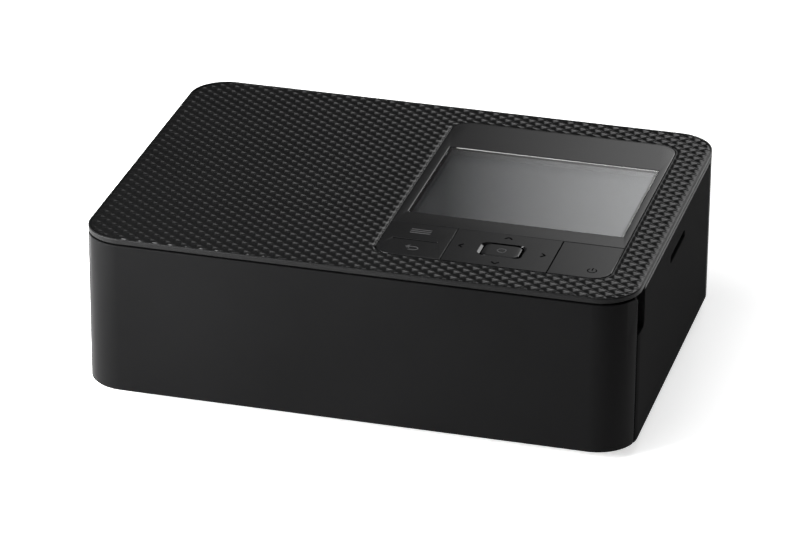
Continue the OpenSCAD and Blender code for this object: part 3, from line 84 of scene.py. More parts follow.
def roundRect(x, y, radius, count=8):
    # rectangle whose corners are quarter circles; radius may be four values, from lower left round
    radii = radius if isinstance(radius, (tuple, list)) else [radius] * 4
    corners = [(x[0], y[0], 1, 1, 180), (x[1], y[0], -1, 1, 270),
               (x[1], y[1], -1, -1, 0), (x[0], y[1], 1, -1, 90)]
    parts = []
    for (cx, cy, sx, sy, start), r in zip(corners, radii):
        if r:
            parts.append(arcPoints((cx + sx * r, cy + sy * r), r, start, start + 90, count))
        else:
            parts.append(np.array([[cx, cy]], float))
    return np.concatenate(parts)


def circleLoop(centre, radius, count):
    return arcPoints(centre, radius, 0, 360 * (1 - 1 / count), count)


def around(middle, half):
    # the span that reaches as far to either side of its middle
    return middle - half, middle + half


def within(span, play):
    # a span drawn in at both of its ends
    return span[0] + play, span[1] - play


def splitAt(loop, values, nearEnd=1e-3):
    # puts a point of a loop wherever one of its level edges crosses one of the values, away from its ends
    out = []
    for a, b in zip(loop, np.roll(loop, -1, 0)):
        out.append(a[None])
        if abs(a[1] - b[1]) < tiny and abs(a[0] - b[0]) > tiny:
            cut = values[(values > min(a[0], b[0]) + nearEnd) & (values < max(a[0], b[0]) - nearEnd)]
            cut = np.sort(cut) if b[0] > a[0] else np.sort(cut)[::-1]
            out.append(np.stack([cut, np.full(len(cut), a[1])], -1))
    return np.concatenate(out)


def turned(loop, leftwards):
    # a loop run with its material on its left: outer loops turn left, holes turn right
    x, y = loop[:, 0], loop[:, 1]
    area = np.sum(x * np.roll(y, -1) - np.roll(x, -1) * y)
    return loop if (area > 0) == leftwards else loop[::-1]


def inwards(loop, sharpest=0.35):
    # Mitre of the two edge normals at each point, towards the material on the left. The sharpest turns
    # are cut short, so that their mitre doesn't run far off.
    ahead = np.roll(loop, -1, 0) - loop
    ahead /= np.linalg.norm(ahead, axis=1)[:, None] + 1e-12
    normal = np.stack([-ahead[:, 1], ahead[:, 0]], -1)
    before = np.roll(normal, 1, 0)
    return (normal + before) / np.maximum(1 + np.sum(normal * before, 1), sharpest)[:, None]


def insideLoops(spots, loops, batch=8000):
    # even-odd rule: a spot is inside when a ray from it crosses the loops an odd number of times
    odd = np.zeros(len(spots), bool)
    for loop in loops:
        a, b = loop, np.roll(loop, -1, 0)
        rise = np.where(b[:, 1] == a[:, 1], 1, b[:, 1] - a[:, 1])
        for i in range(0, len(spots), batch):
            x, y = spots[i:i + batch, 0:1], spots[i:i + batch, 1:2]
            across = (a[:, 1] > y) != (b[:, 1] > y)
            at = a[:, 0] + (y - a[:, 1]) * (b[:, 0] - a[:, 0]) / rise
            odd[i:i + batch] ^= (np.sum(across & (x < at), 1) % 2).astype(bool)
    return odd


def fillFlat(loops, inner):
    # triangles between closed loops, the first outside and the rest holes, with more points inside
    spots = np.concatenate(list(loops) + ([inner] if len(inner) else []))
    edges, start = [], 0
    for loop in loops:
        i = np.arange(len(loop))
        edges.append(np.stack([i, (i + 1) % len(loop)], 1) + start)
        start += len(loop)
    points = [Vector(spot) for spot in spots.tolist()]
    found = delaunay_2d_cdt(points, np.concatenate(edges).tolist(), [], 0, tiny, True)
    flat, faces = np.array([v[:] for v in found[0]]), np.array(found[2])
    return flat, faces[insideLoops(flat[faces].mean(1), loops)]


def plate(loops, thick, edge=0.3, backEdge=0.0, inner=(), steps=4):
    # A sheet with holes, as (across, along, depth). Its two faces are filled between its loops. Its rims
    # are rings: the loop drawn in by edge(1 - sin t) at depth edge(1 - cos t), for t from nought to a
    # right angle.
    loops = [turned(np.asarray(loop, float), i == 0) for i, loop in enumerate(loops)]
    t = np.linspace(0, math.pi / 2, steps)
    inset, depth = edge * (1 - np.sin(t)), edge * (1 - np.cos(t))
    if backEdge:
        inset = np.concatenate([inset, backEdge * (1 - np.sin(t[::-1]))])
        depth = np.concatenate([depth, thick - backEdge * (1 - np.cos(t[::-1]))])
    else:
        inset, depth = np.append(inset, 0), np.append(depth, thick)
    shapes, fronts, backs = [], [], []
    for loop in loops:
        lean = inwards(loop)
        rings = loop[None] + inset[:, None, None] * lean[None]
        points = np.concatenate([rings, np.broadcast_to(depth[:, None, None], rings.shape[:2] + (1,))], -1)
        shapes.append((points.reshape(-1, 3), [gridFaces(len(inset), len(loop), wrapColumns=True)]))
        fronts.append(rings[0])
        backs.append(rings[-1])
    for rim, down in ((fronts, 0), (backs, thick)):
        flat, faces = fillFlat(rim, np.asarray(inner))
        shapes.append((np.column_stack([flat, np.full(len(flat), down)]), [faces]))
    return join(*shapes)


def moved(shape, move):
    # carries a shape's three columns through a function
    points, faces = shape
    return np.stack(move(*points.T), -1), faces


def level(shape, top):
    # lays a plate flat: its face is at the top and its depth runs down
    return moved(shape, lambda u, v, w: (u, v, top - w))


def block(x, y, z, edge=0.15):
    # box between three spans, with its upper and lower edges eased
    return level(plate([roundRect(x, y, 0)], z[1] - z[0], edge, edge * 0.6, steps=3), z[1])


def lathe(profile, axis, at, count=48):
    # a closed profile of (radius, place along the axis) turned round an axis
    r, along = np.array(profile, float).T
    a = np.linspace(0, 2 * math.pi, count, endpoint=False)
    p, q = r[:, None] * np.cos(a), r[:, None] * np.sin(a)
    w = np.broadcast_to(along[:, None], p.shape)
    p, q = at[0] + p, at[1] + q
    xyz = {"x": (w, p, q), "y": (p, w, q), "z": (p, q, w)}[axis]
    return np.stack([c.ravel() for c in xyz], -1), [gridFaces(len(r), count, wrapColumns=True)]


def rod(radius, ends, axis, at, edge=0.2, bore=0.0, count=40):
    # Cylinder, or tube when it has a bore. Its rims are rounded through a point halfway round a quarter
    # circle, which lies 1 - cos 45 degrees, or about 0.3 of the edge, inside the corner.
    a, b = ends
    ease = edge * 0.3
    outside = [(radius - edge, a), (radius - ease, a + ease), (radius, a + edge),
               (radius, b - edge), (radius - ease, b - ease), (radius - edge, b)]
    return lathe(outside + [(bore, b), (bore, a), outside[0]], axis, at, count)


# The casing's outline from above.

frontRun = casing["halfWidth"] - casing["frontRadius"]
frontArc = math.pi / 2 * casing["frontRadius"]
sideRun = casing["back"] - casing["front"] - casing["frontRadius"] - casing["rearRadius"]
rearArc = math.pi / 2 * casing["rearRadius"]
backRun = casing["halfWidth"] - casing["rearRadius"]
perimeter = 2 * (frontRun + frontArc + sideRun + rearArc + backRun)


def outlineAt(s, inset):
    # The place at a distance s round the outline, to the right from the middle of the front, drawn in by
    # an inset. Straight stretches run along the faces, and each corner is centre plus (radius - inset)
    # times (sin, cos).
    s = np.mod(s, perimeter)
    left = s > perimeter / 2
    a = np.where(left, perimeter - s, s)
    hw, f, b = casing["halfWidth"], casing["front"], casing["back"]
    rf, rr = casing["frontRadius"], casing["rearRadius"]
    marks = np.cumsum([frontRun, frontArc, sideRun, rearArc])
    p = (a - marks[0]) / rf
    q = (a - marks[2]) / rr
    where = [a < marks[0], a < marks[1], a < marks[2], a < marks[3]]
    x = np.select(where, [a, hw - rf + (rf - inset) * np.sin(p), hw - inset + 0 * a,
                          hw - rr + (rr - inset) * np.cos(q)], hw - rr - (a - marks[3]))
    y = np.select(where, [f + inset + 0 * a, f + rf - (rf - inset) * np.cos(p), f + rf + a - marks[1],
                          b - rr + (rr - inset) * np.sin(q)], b - inset + 0 * a)
    return np.where(left, -x, x), y


def sideAt(y):
    # distance round the outline of a place on the right side, by its y
    cornerEnd = casing["front"] + casing["frontRadius"]
    if y < cornerEnd:
        return frontRun + casing["frontRadius"] * math.acos((cornerEnd - y) / casing["frontRadius"])
    return frontRun + frontArc + y - cornerEnd


def backAt(x):
    # distance round the outline of a place on the back, by its x
    return perimeter / 2 - x


def backSpan(x0, x1):
    return backAt(x1), backAt(x0)


net = dict(rows=(12, 22, 32, 42), frontColumns=33, rearColumns=31, offEnds=0.4, offLoops=0.9,
           edge=0.3, backEdge=0.15)
cornerColumns = np.concatenate([frontRun + np.linspace(0, frontArc, net["frontColumns"]),
                                frontRun + frontArc + sideRun + np.linspace(0, rearArc, net["rearColumns"])])
cornerColumns = np.concatenate([cornerColumns, perimeter - cornerColumns, -cornerColumns])


def skin(loops):
    # A wall of the casing, drawn flat as (distance round the outline, height) and bent round it. Round the
    # corners it has columns of points, which also split its level edges.
    ends = within((loops[0][:, 0].min(), loops[0][:, 0].max()), net["offEnds"])
    columns = np.sort(cornerColumns[(cornerColumns > ends[0]) & (cornerColumns < ends[1])])
    spots = np.stack(np.meshgrid(columns, net["rows"]), -1).reshape(-1, 2)
    for loop in loops:
        near = np.min(np.linalg.norm(spots[:, None] - loop[None], axis=2), 1)
        spots = spots[near > net["offLoops"]]
    spots = spots[insideLoops(spots, loops)]
    loops = [splitAt(loop, columns) for loop in loops]
    shape = plate(loops, casing["wall"], net["edge"], net["backEdge"], spots)

    def bend(s, h, depth):
        x, y = outlineAt(s, depth)
        return x, y, h
    return moved(shape, bend)


# Materials

class Wire:
    # an output socket; arithmetic on it adds Math nodes
    def __init__(self, tree, socket):
        self.tree, self.socket = tree, socket

    def work(self, operation, *values):
        node = self.tree.nodes.new("ShaderNodeMath")
        node.operation = operation
        for place, value in zip(node.inputs, values):
            if isinstance(value, Wire):
                self.tree.links.new(value.socket, place)
            else:
                place.default_value = value
        return Wire(self.tree, node.outputs[0])

    def __add__(self, other):
        return self.work("ADD", self, other)

    def __sub__(self, other):
        return self.work("SUBTRACT", self, other)

    def __rsub__(self, other):
        return self.work("SUBTRACT", other, self)

    def __mul__(self, other):
        return self.work("MULTIPLY", self, other)

    def __truediv__(self, other):
        return self.work("DIVIDE", self, other)

    def __gt__(self, other):
        return self.work("GREATER_THAN", self, other)

    def clamped(self, low, high):
        return self.work("MINIMUM", self.work("MAXIMUM", self, low), high)

    __radd__ = __add__
    __rmul__ = __mul__


class Nodes:
    # a node tree, and the one way in which nodes are added to it and fed
    def __init__(self, tree):
        self.tree = tree

    def node(self, kind, settings=None, sockets=None, output=0):
        node = self.tree.nodes.new("ShaderNode" + kind)
        for key, value in (settings or {}).items():
            setattr(node, key, value)
        for key, value in (sockets or {}).items():
            self.feed(node.inputs[key], value)
        return Wire(self.tree, node.outputs[output])

    def feed(self, place, value):
        if isinstance(value, Wire):
            self.tree.links.new(value.socket, place)
        elif place.type == "RGBA":
            place.default_value = (*value, 1)
        else:
            place.default_value = value

    def mix(self, factor, a, b):
        # from one colour to another: 6 and 7 are the node's sockets for colours, and 2 its output for one
        return self.node("Mix", {"data_type": "RGBA"}, {0: factor, 6: a, 7: b}, 2)


class Finish(Nodes):
    # one material: a Principled surface and the nodes that feed it
    def __init__(self, name, **constants):
        self.material = bpy.data.materials.new(name)
        self.material.use_nodes = True
        super().__init__(self.material.node_tree)
        self.surface = self.tree.nodes["Principled BSDF"]
        self.set(**constants)

    def set(self, **sockets):
        for key, value in sockets.items():
            self.feed(self.surface.inputs[key.replace("_", " ")], value)

    def place(self, stretch=(1, 1, 1)):
        # object coordinates, stretched for grain that runs one way
        at = self.node("TexCoord", output=3)
        return self.node("Mapping", sockets={"Vector": at, "Scale": stretch})

    def noise(self, size, detail=3.0, rough=0.5, stretch=(1, 1, 1)):
        # noise whose features are about this many millimetres across
        return self.node("TexNoise", sockets={"Vector": self.place(stretch), "Scale": 1000 / size,
                                              "Detail": detail, "Roughness": rough})

    def bump(self, height, strength, distance):
        self.set(Normal=self.node("Bump", sockets={"Strength": strength, "Distance": distance * mm,
                                                   "Height": height}))
        return self


def shade(colour, factor):
    return tuple(c * factor for c in colour)


def mouldedPlastic(name, colour, rough, grain=0.35, depth=0.012, level=0.5, spread=0.06):
    # fine spark grain, slow patches of sheen, and a little dust-grey where the patches are dull
    f = Finish(name, Specular_IOR_Level=level)
    patches = f.noise(38, 4)
    fine = f.noise(grain, 2, 0.6)
    f.set(Base_Color=f.mix((patches - 0.3) * 1.4, shade(colour, 0.85), shade(colour, 1.2)),
          Roughness=rough + (patches - 0.5) * spread + (fine - 0.5) * spread)
    return f.bump(fine, 0.35, depth)


def turnedMetal(name, colour, rough, stretch, scratch=0.6):
    # drawn or ground metal: scratches that run one way over a cloudy base
    f = Finish(name, Metallic=1.0)
    lines = f.noise(scratch, 5, 0.7, stretch)
    cloud = f.noise(14, 3)
    f.set(Base_Color=f.mix(cloud, shade(colour, 0.8), colour),
          Roughness=rough + (lines - 0.5) * 0.22 + (cloud - 0.5) * 0.1)
    return f.bump(lines, 0.25, 0.01)


def sheetMetal(name, colour):
    # zinc-plated sheet: faint spangles and rolling lines
    f = Finish(name, Metallic=1.0)
    spangle = f.node("TexVoronoi", {"feature": "F1"},
                     {"Vector": f.place(), "Scale": 260.0, "Randomness": 1.0}, output=1)
    grey = f.node("RGBToBW", sockets={"Color": spangle})
    lines = f.noise(0.8, 4, 0.6, (0.06, 1, 1))
    f.set(Base_Color=f.mix(grey * 0.6 + lines * 0.3, shade(colour, 0.72), colour),
          Roughness=0.32 + grey * 0.1 + (lines - 0.5) * 0.12)
    return f.bump(lines, 0.2, 0.008)


def rubberStock(name, colour):
    # matt rubber with a ground surface and pale bloom
    f = Finish(name, Specular_IOR_Level=0.3)
    fine = f.noise(0.22, 4, 0.7)
    bloom = f.noise(9, 4)
    f.set(Base_Color=f.mix((bloom - 0.42) * 2, colour, shade(colour, 1.7)),
          Roughness=0.78 + (fine - 0.5) * 0.2)
    return f.bump(fine, 0.5, 0.03)


def circuitBoard(name):
    # solder mask under a clear coat, with copper tracks along the edges of cells that turn square corners
    f = Finish(name, Specular_IOR_Level=0.5, Coat_Weight=0.3)
    cells = f.node("TexVoronoi", {"feature": "F1", "distance": "CHEBYCHEV"},
                   {"Vector": f.place(), "Scale": 420.0})
    edge = cells > 0.62
    fleck = f.noise(1.2, 3)
    f.set(Base_Color=f.mix(edge * 0.8, (0.008, 0.085, 0.04), (0.02, 0.17, 0.07)),
          Roughness=0.34 + (fleck - 0.5) * 0.2)
    return f.bump(edge, 0.3, 0.03)


def flexFilm(name):
    # amber film with copper lines along the cable
    f = Finish(name, Specular_IOR_Level=0.5)
    across = f.node("SeparateXYZ", sockets={"Vector": f.place()}, output=0)
    lines = across * 2000
    stripe = lines.work("FRACT", lines) > 0.45
    grime = f.noise(3, 3)
    f.set(Base_Color=f.mix(stripe, (0.35, 0.13, 0.02), (0.55, 0.24, 0.06)), Roughness=0.25 + grime * 0.15)
    return f.bump(stripe, 0.3, 0.02)


def windowGlass(name):
    # tinted clear window with faint wiping marks
    f = Finish(name, Base_Color=(0.86, 0.88, 0.9), IOR=1.46, Transmission_Weight=1.0)
    smear = f.noise(26, 4, 0.6, (1, 0.35, 1))
    fine = f.noise(0.5, 2)
    f.set(Roughness=0.004 + (smear - 0.35).clamped(0, 1) * 0.006)
    return f.bump(fine, 0.01, 0.0005)


def displayFace(name, glow):
    # switched-off display: an even grey face with a slow sheen
    f = Finish(name, Specular_IOR_Level=0.1)
    slow = f.noise(60, 2)
    fine = f.noise(0.25, 1)
    f.set(Base_Color=f.mix(slow, shade(glow, 0.92), shade(glow, 1.08)), Roughness=0.3 + (fine - 0.5) * 0.1)
    return f.bump(fine, 0.1, 0.004)


panelTone = (0.004, 0.004, 0.0042)
finishes = {
    "case_black": mouldedPlastic("caseBlack", (0.008, 0.008, 0.0082), 0.45, level=0.06),
    "cover_black": mouldedPlastic("coverBlack", (0.003, 0.003, 0.0031), 0.42, level=0.03, grain=0.3),
    "deck_black": mouldedPlastic("deckBlack", (0.0035, 0.0035, 0.0036), 0.15, level=0.1, spread=0.03),
    "inner_black": mouldedPlastic("innerBlack", (0.012, 0.012, 0.0125), 0.55, level=0.3, grain=0.5,
                                  depth=0.02),
    "panel_grey": mouldedPlastic("panelGrey", panelTone, 0.14, level=0.16, grain=0.25, depth=0.004),
    "key_grey": mouldedPlastic("keyGrey", panelTone, 0.14, level=0.11, grain=0.25, depth=0.004),
    "foot_rubber": rubberStock("footRubber", (0.018, 0.018, 0.018)),
    "roller_rubber": rubberStock("rollerRubber", (0.03, 0.03, 0.031)),
    "bright_steel": turnedMetal("brightSteel", (0.62, 0.62, 0.63), 0.22, (0.05, 1, 1)),
    "sheet_steel": sheetMetal("sheetSteel", (0.56, 0.57, 0.58)),
    "gear_nylon": mouldedPlastic("gearNylon", (0.62, 0.6, 0.53), 0.45, grain=1.2, depth=0.02),
    "head_aluminium": turnedMetal("headAluminium", (0.72, 0.72, 0.73), 0.32, (0.04, 1, 1), 0.9),
    "board_green": circuitBoard("boardGreen"),
    "flex_amber": flexFilm("flexAmber"),
    "ink_grey": mouldedPlastic("inkGrey", (0.045, 0.045, 0.048), 0.4, grain=0.8, depth=0.015),
    "film_black": mouldedPlastic("filmBlack", (0.012, 0.011, 0.014), 0.16, grain=2.0, depth=0.01, spread=0.1),
    "lever_grey": mouldedPlastic("leverGrey", (0.11, 0.115, 0.125), 0.45, grain=0.6),
    "window_glass": windowGlass("windowGlass"),
    "display_grey": displayFace("displayGrey", (0.03, 0.031, 0.033)),
    # finishes of single pieces, whose slots are among the ones above
    # the rim's finish: a lighter copy of the top's black plastic, its colour painted lighter for the light
    # that the band catches
    "rim_lit_black": mouldedPlastic("rimLitBlack", (0.005, 0.005, 0.0051), 0.4, level=0.07),
    # the door's finish: a shaded copy of the cover's plastic, its sheen almost taken away so that the side
    # reads dark, as painted shade
    "door_shaded_black": mouldedPlastic("doorShadedBlack", (0.0065, 0.0065, 0.0067), 0.6, level=0.004),
    # a pale finish for the strip along the window's back edge: a painted highlight
    "highlight_pale": mouldedPlastic("highlightPale", (0.42, 0.42, 0.41), 0.3, level=0.5),
    "screen_grey": displayFace("screenGrey", (0.0292, 0.029, 0.0283)),
    "mark_grey": mouldedPlastic("markGrey", (0.04, 0.04, 0.041), 0.5, grain=0.2, level=0.1),
    "mark_dark": mouldedPlastic("markDark", (0.0012, 0.0012, 0.0013), 0.6, grain=0.2, level=0.004),
}
print("materials made:", len(finishes))

slotOf = {entry["node"]: entry["material_slot"] for entry in frame["record"]["subparts"]}
for nodeName, nodeObject in frame["nodes"].items():
    nodeObject.data.materials.clear()
    nodeObject.data.materials.append(finishes[slotOf[nodeName]].material)
print("frame nodes dressed:", len(frame["nodes"]))


def addPiece(name, shape, slotName, body="casing", stands=(), finish=None, sharp=40, weld=2e-6, sliver=1e-7):
    # turns a shape into a mesh with outward faces, and ties it to the frame; weld and sliver are in metres
    points, faces = shape
    mesh = bpy.data.meshes.new(name)
    mesh.from_pydata((points * mm).tolist(), [], [face for group in faces for face in group.tolist()])
    work = bmesh.new()
    work.from_mesh(mesh)
    bmesh.ops.remove_doubles(work, verts=work.verts, dist=weld)
    bmesh.ops.dissolve_degenerate(work, edges=work.edges, dist=sliver)
    bmesh.ops.recalc_face_normals(work, faces=work.faces)
    work.to_mesh(mesh)
    work.free()
    mesh.shade_smooth()
    mesh.set_sharp_from_angle(angle=math.radians(sharp))
    mesh.materials.append(finishes[finish or slotName].material)
    piece = bpy.data.objects.new(name, mesh)
    bpy.context.scene.collection.objects.link(piece)
    even = piece.modifiers.new("evenNormals", "WEIGHTED_NORMAL")
    even.keep_sharp = True
    even.weight = 90
    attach(piece, body)
    if stands:
        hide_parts(*stands)


# Deck: rim, raised diamonds, and what hangs below it.

deck = dict(peak=0.32, across=5.22, along=4.21, net=8, blunt=0.86, waist=0.06, drop=0.08, clear=0.2,
            fade=0.25, sunkBand=0.05, sunk=0.08, loopStep=0.6, marginSide=0.45, marginFront=1.0, margin=0.25,
            edge=0.4, rimInset=3.2, rimBevel=0.18, stepWide=0.12, stepDeep=0.1,
            plateInset=1, plateGap=0.04, plateStep=30, plateEdge=0.05, plateBackEdge=0.2)


def sweptOutline(profile, count=24):
    # a closed profile of (inset, height) carried round the outline: a ring for each of its points
    s = np.concatenate([np.linspace(0, frontRun, 2)[:-1], frontRun + np.linspace(0, frontArc, count),
                        frontRun + frontArc + sideRun + np.linspace(0, rearArc, count), [perimeter / 2]])
    s = np.concatenate([s, perimeter - s[-2:0:-1]])
    rings = []
    for inset, height in profile:
        x, y = outlineAt(s, inset)
        rings.append(np.stack([x, y, np.full(len(s), height)], -1))
    return np.concatenate(rings), [gridFaces(len(profile), len(s), wrapRows=True, wrapColumns=True)]


def roundedDistance(x, y, xs, ys, radii):
    # distance inside a rectangle with round corners: nought at its edge, more towards its middle
    cx, cy = (xs[0] + xs[1]) / 2, (ys[0] + ys[1]) / 2
    r = np.where(y < cy, radii[0], radii[1])
    qx, qy = np.abs(x - cx) - (xs[1] - xs[0]) / 2 + r, np.abs(y - cy) - (ys[1] - ys[0]) / 2 + r
    return r - np.hypot(np.maximum(qx, 0), np.maximum(qy, 0)) - np.minimum(np.maximum(qx, qy), 0)


def finer(loop, step):
    # shares out points along a loop's longer edges
    out = []
    for a, b in zip(loop, np.roll(loop, -1, 0)):
        n = max(1, int(np.linalg.norm(b - a) / step))
        out.append(a + (b - a) * np.arange(n)[:, None] / n)
    return np.concatenate(out)


def rimShape():
    # flat band, a quarter-round upper edge, a narrow land, and a step down to the pattern
    c, d = casing, deck
    t = np.linspace(0, math.pi / 2, 7)
    rounding = [(d["edge"] * (1 - math.cos(a)), c["top"] - d["edge"] * (1 - math.sin(a))) for a in t]
    land, low = d["marginSide"], valley - d["stepDeep"]
    profile = [(d["rimInset"], c["rim"]), (d["rimBevel"], c["rim"]), (0, c["rim"] + d["rimBevel"])] + rounding
    profile += [(land, c["top"]), (land + d["stepWide"], low), (d["rimInset"], low)]
    return sweptOutline(profile)


def fieldShape():
    # A height over the plane. Each diamond is one less the larger of its two slanting distances from a
    # lattice point, doubled; its top is blunted, its faces are a little hollow, and it sinks to nought at
    # the field's edges.
    c, d, p = casing, deck, panel
    holeX = (p["left"] - d["margin"], p["right"] + d["margin"])
    holeY = (p["front"] - d["margin"], p["back"] + d["margin"])
    holeR = p["radius"] + d["margin"]

    def distances(x, y):
        return (roundedDistance(x, y, fieldX, fieldY, fieldR),
                -roundedDistance(x, y, holeX, holeY, (holeR, holeR)))
    stepX, stepY = d["across"] / d["net"], d["along"] / d["net"]
    reachX, reachY = math.ceil(c["halfWidth"] / stepX), math.ceil(c["back"] / stepY)
    columns, rows = np.arange(-reachX, reachX + 1) * stepX, np.arange(-reachY, reachY + 1) * stepY
    spots = np.stack(np.meshgrid(columns, rows), -1).reshape(-1, 2)
    outer, hole = distances(*spots.T)
    spots = spots[(outer > d["clear"]) & (hole > d["clear"])]
    outerLoop = roundRect(fieldX, fieldY, (fieldR[0], fieldR[0], fieldR[1], fieldR[1]), 40)
    loops = [finer(outerLoop, d["loopStep"]), finer(roundRect(holeX, holeY, holeR, 24), d["loopStep"])]
    flat, faces = fillFlat(loops, spots)
    x, y = flat.T
    a, b = x / d["across"] + y / d["along"], x / d["across"] - y / d["along"]
    slant = np.maximum(np.abs(a - np.round(a)), np.abs(b - np.round(b))) * 2
    height = np.clip(1 - slant, 0, d["blunt"]) / d["blunt"]
    height = height - d["waist"] * np.sin(math.pi * height) ** 2
    outer, hole = distances(x, y)
    fade = np.clip(np.minimum(outer, hole) / d["fade"], 0, 1)
    z = valley + d["peak"] * height * fade * fade * (3 - 2 * fade) - d["sunk"] * (fade < d["sunkBand"])
    return np.column_stack([flat, z]), [faces]


def underShape():
    # plate under the field, with the panel's opening cut through it
    c, d, p = casing, deck, panel
    inset, top = d["plateInset"], valley - d["plateGap"]
    r = [radius - inset for radius in fieldR]
    outer = roundRect(within(fieldX, inset), within(fieldY, inset), (r[0], r[0], r[1], r[1]), 16)
    opening = roundRect((p["left"], p["right"]), (p["front"], p["back"]), p["radius"], 16)
    sheet = plate([finer(outer, d["plateStep"]), opening], top - c["rim"], d["plateEdge"], d["plateBackEdge"],
                  steps=2)
    return level(sheet, top)


valley = casing["top"] - deck["drop"] - deck["peak"]
fieldX = within((-casing["halfWidth"], casing["halfWidth"]), deck["marginSide"])
fieldY = (casing["front"] + deck["marginFront"], casing["back"] - deck["marginSide"])
fieldR = (casing["frontRadius"] - deck["marginSide"], casing["rearRadius"] - deck["marginSide"])

hung = dict(ribHalf=0.6, low=52.8, top=55.9, ribsX=(-69.9, -41.9, -13.9), endsY=(-57.1, 62.5),
            ribsY=(-36, 4, 40), endsX=(-87.1, -6),
            bosses=((-80.2, -29.5), (-80.2, 36.5), (80.2, 58.2)), bossRadius=2.8, bossBore=1.2, bossLow=16.0,
            posts=[(x, y) for x in (-73.1, -14) for y in (-46.5, 12)], postRadius=2.0, postLow=49.8)
below = [block(around(x, hung["ribHalf"]), hung["endsY"], (hung["low"], hung["top"])) for x in hung["ribsX"]]
below += [block(hung["endsX"], around(y, hung["ribHalf"]), (hung["low"], hung["top"])) for y in hung["ribsY"]]
below += [rod(hung["bossRadius"], (hung["bossLow"], hung["top"]), "z", at, bore=hung["bossBore"])
          for at in hung["bosses"]]
below += [rod(hung["postRadius"], (hung["postLow"], hung["top"]), "z", at) for at in hung["posts"]]

pattern = fieldShape()
addPiece("deckPattern", pattern, "deck_black", sharp=60)
addPiece("deckShell", join(underShape(), *below), "deck_black", stands=["top_cover"])
# the rim wears the lighter copy of the top's plastic: painted light on its band
addPiece("deckRim", rimShape(), "deck_black", finish="rim_lit_black")
print("deck made, faces in the pattern:", len(pattern[1][0]))

# Front cover

cover = dict(topCorner=2.0, lowCorner=1.0, sink=0.2, ribHalf=0.6, ribDeep=1.4, ribHeights=(16, 30, 44),
             ribPlaces=(-66, -33, 0, 33, 66), ribEnds=(12, 50), pinY=-61.8, pinZ=5.6, knuckle=2.2, bore=1.25,
             web=1.3, knuckles=((-61.2, -53.2), (53.2, 61.2)), catches=(-70, 70), catchHalf=2, catchReach=7.6,
             catchZ=(50, 51.2), hookReach=6.6, hookZ=(49.3, 51.2))


def coverShape():
    c, k = casing, cover
    end = sideAt(c["coverEdge"])
    corners = (k["lowCorner"], k["lowCorner"], k["topCorner"], k["topCorner"])
    shapes = [skin([roundRect((-end, end), (c["skirt"], c["coverTop"]), corners, 8)])]
    inside = c["front"] + c["wall"]
    root, rib = inside - k["sink"], (inside - k["sink"], inside + k["ribDeep"])
    places, half = k["ribPlaces"], k["ribHalf"]
    shapes += [block((places[0], places[-1]), rib, around(z, half)) for z in k["ribHeights"]]
    shapes += [block(around(x, half), rib, k["ribEnds"]) for x in places]
    for ends in k["knuckles"]:
        shapes.append(rod(k["knuckle"], ends, "x", (k["pinY"], k["pinZ"]), bore=k["bore"]))
        shapes.append(block(ends, (root, k["pinY"] - k["web"]), (k["pinZ"], k["pinZ"] + k["knuckle"])))
    for x in k["catches"]:
        wide, tip = around(x, k["catchHalf"]), c["front"] + k["catchReach"]
        shapes.append(block(wide, (root, tip), k["catchZ"]))
        shapes.append(block(wide, (c["front"] + k["hookReach"], tip), k["hookZ"]))
    return join(*shapes)


addPiece("frontCoverSkin", coverShape(), "cover_black", "front_cover", ["front_cover"])

# Side door

door = dict(slotFrom=-9.5, slotTo=12.5, slotZ=46.3, slotHigh=2.6, slotRounding=1.25, notchLow=41.55,
            notchBack=-48.6, notchCorner=2, rearCorner=2.5, ribDeep=1.2, ribHeights=(14, 30),
            ribPlaces=(-40, -18, 22, 44), pinX=86.4, pinZ=5.6, knuckles=((-39.7, -31.7), (21.7, 29.7)),
            catchX=80, catchY=(44, 48), catchZ=(48.9, 50.1), hookX=81, hookZ=(48.2, 50.1))


def doorShape():
    c, d, k = casing, door, cover
    front, back, notch = sideAt(c["doorFront"]), sideAt(c["doorBack"]), sideAt(d["notchBack"])
    r, rr = d["notchCorner"], d["rearCorner"]
    corner = arcPoints((notch - r, d["notchLow"] + r), r, 270, 360, 8)
    rearEnd = arcPoints((back - rr, c["doorTop"] - rr), rr, 0, 90, 8)
    outer = np.concatenate([[[front, c["skirt"]], [back, c["skirt"]]], rearEnd, [[notch, c["doorTop"]]],
                            corner[::-1], [[front, d["notchLow"]]]])
    slot = roundRect((sideAt(d["slotFrom"]), sideAt(d["slotTo"])), around(d["slotZ"], d["slotHigh"] / 2),
                     d["slotRounding"], 6)
    shapes = [skin([outer, slot])]
    inside = c["halfWidth"] - c["wall"]
    root, rib = inside + k["sink"], (inside - d["ribDeep"], inside + k["sink"])
    places, half = d["ribPlaces"], k["ribHalf"]
    shapes += [block(rib, (places[0], places[-1]), around(z, half)) for z in d["ribHeights"]]
    shapes += [block(rib, around(y, half), k["ribEnds"]) for y in places]
    for ends in d["knuckles"]:
        shapes.append(rod(k["knuckle"], ends, "y", (d["pinX"], d["pinZ"]), bore=k["bore"]))
        shapes.append(block((d["pinX"] + k["web"], root), ends, (d["pinZ"], d["pinZ"] + k["knuckle"])))
    shapes.append(block((d["catchX"], root), d["catchY"], d["catchZ"]))
    shapes.append(block((d["catchX"], d["hookX"]), d["catchY"], d["hookZ"]))
    return join(*shapes)


# the door wears the shaded copy of the cover's plastic: painted shade on the side
addPiece("sideDoorSkin", doorShape(), "cover_black", "side_door", ["side_door"], "door_shaded_black")

# Rear shell: left side, back and the right rear corner.

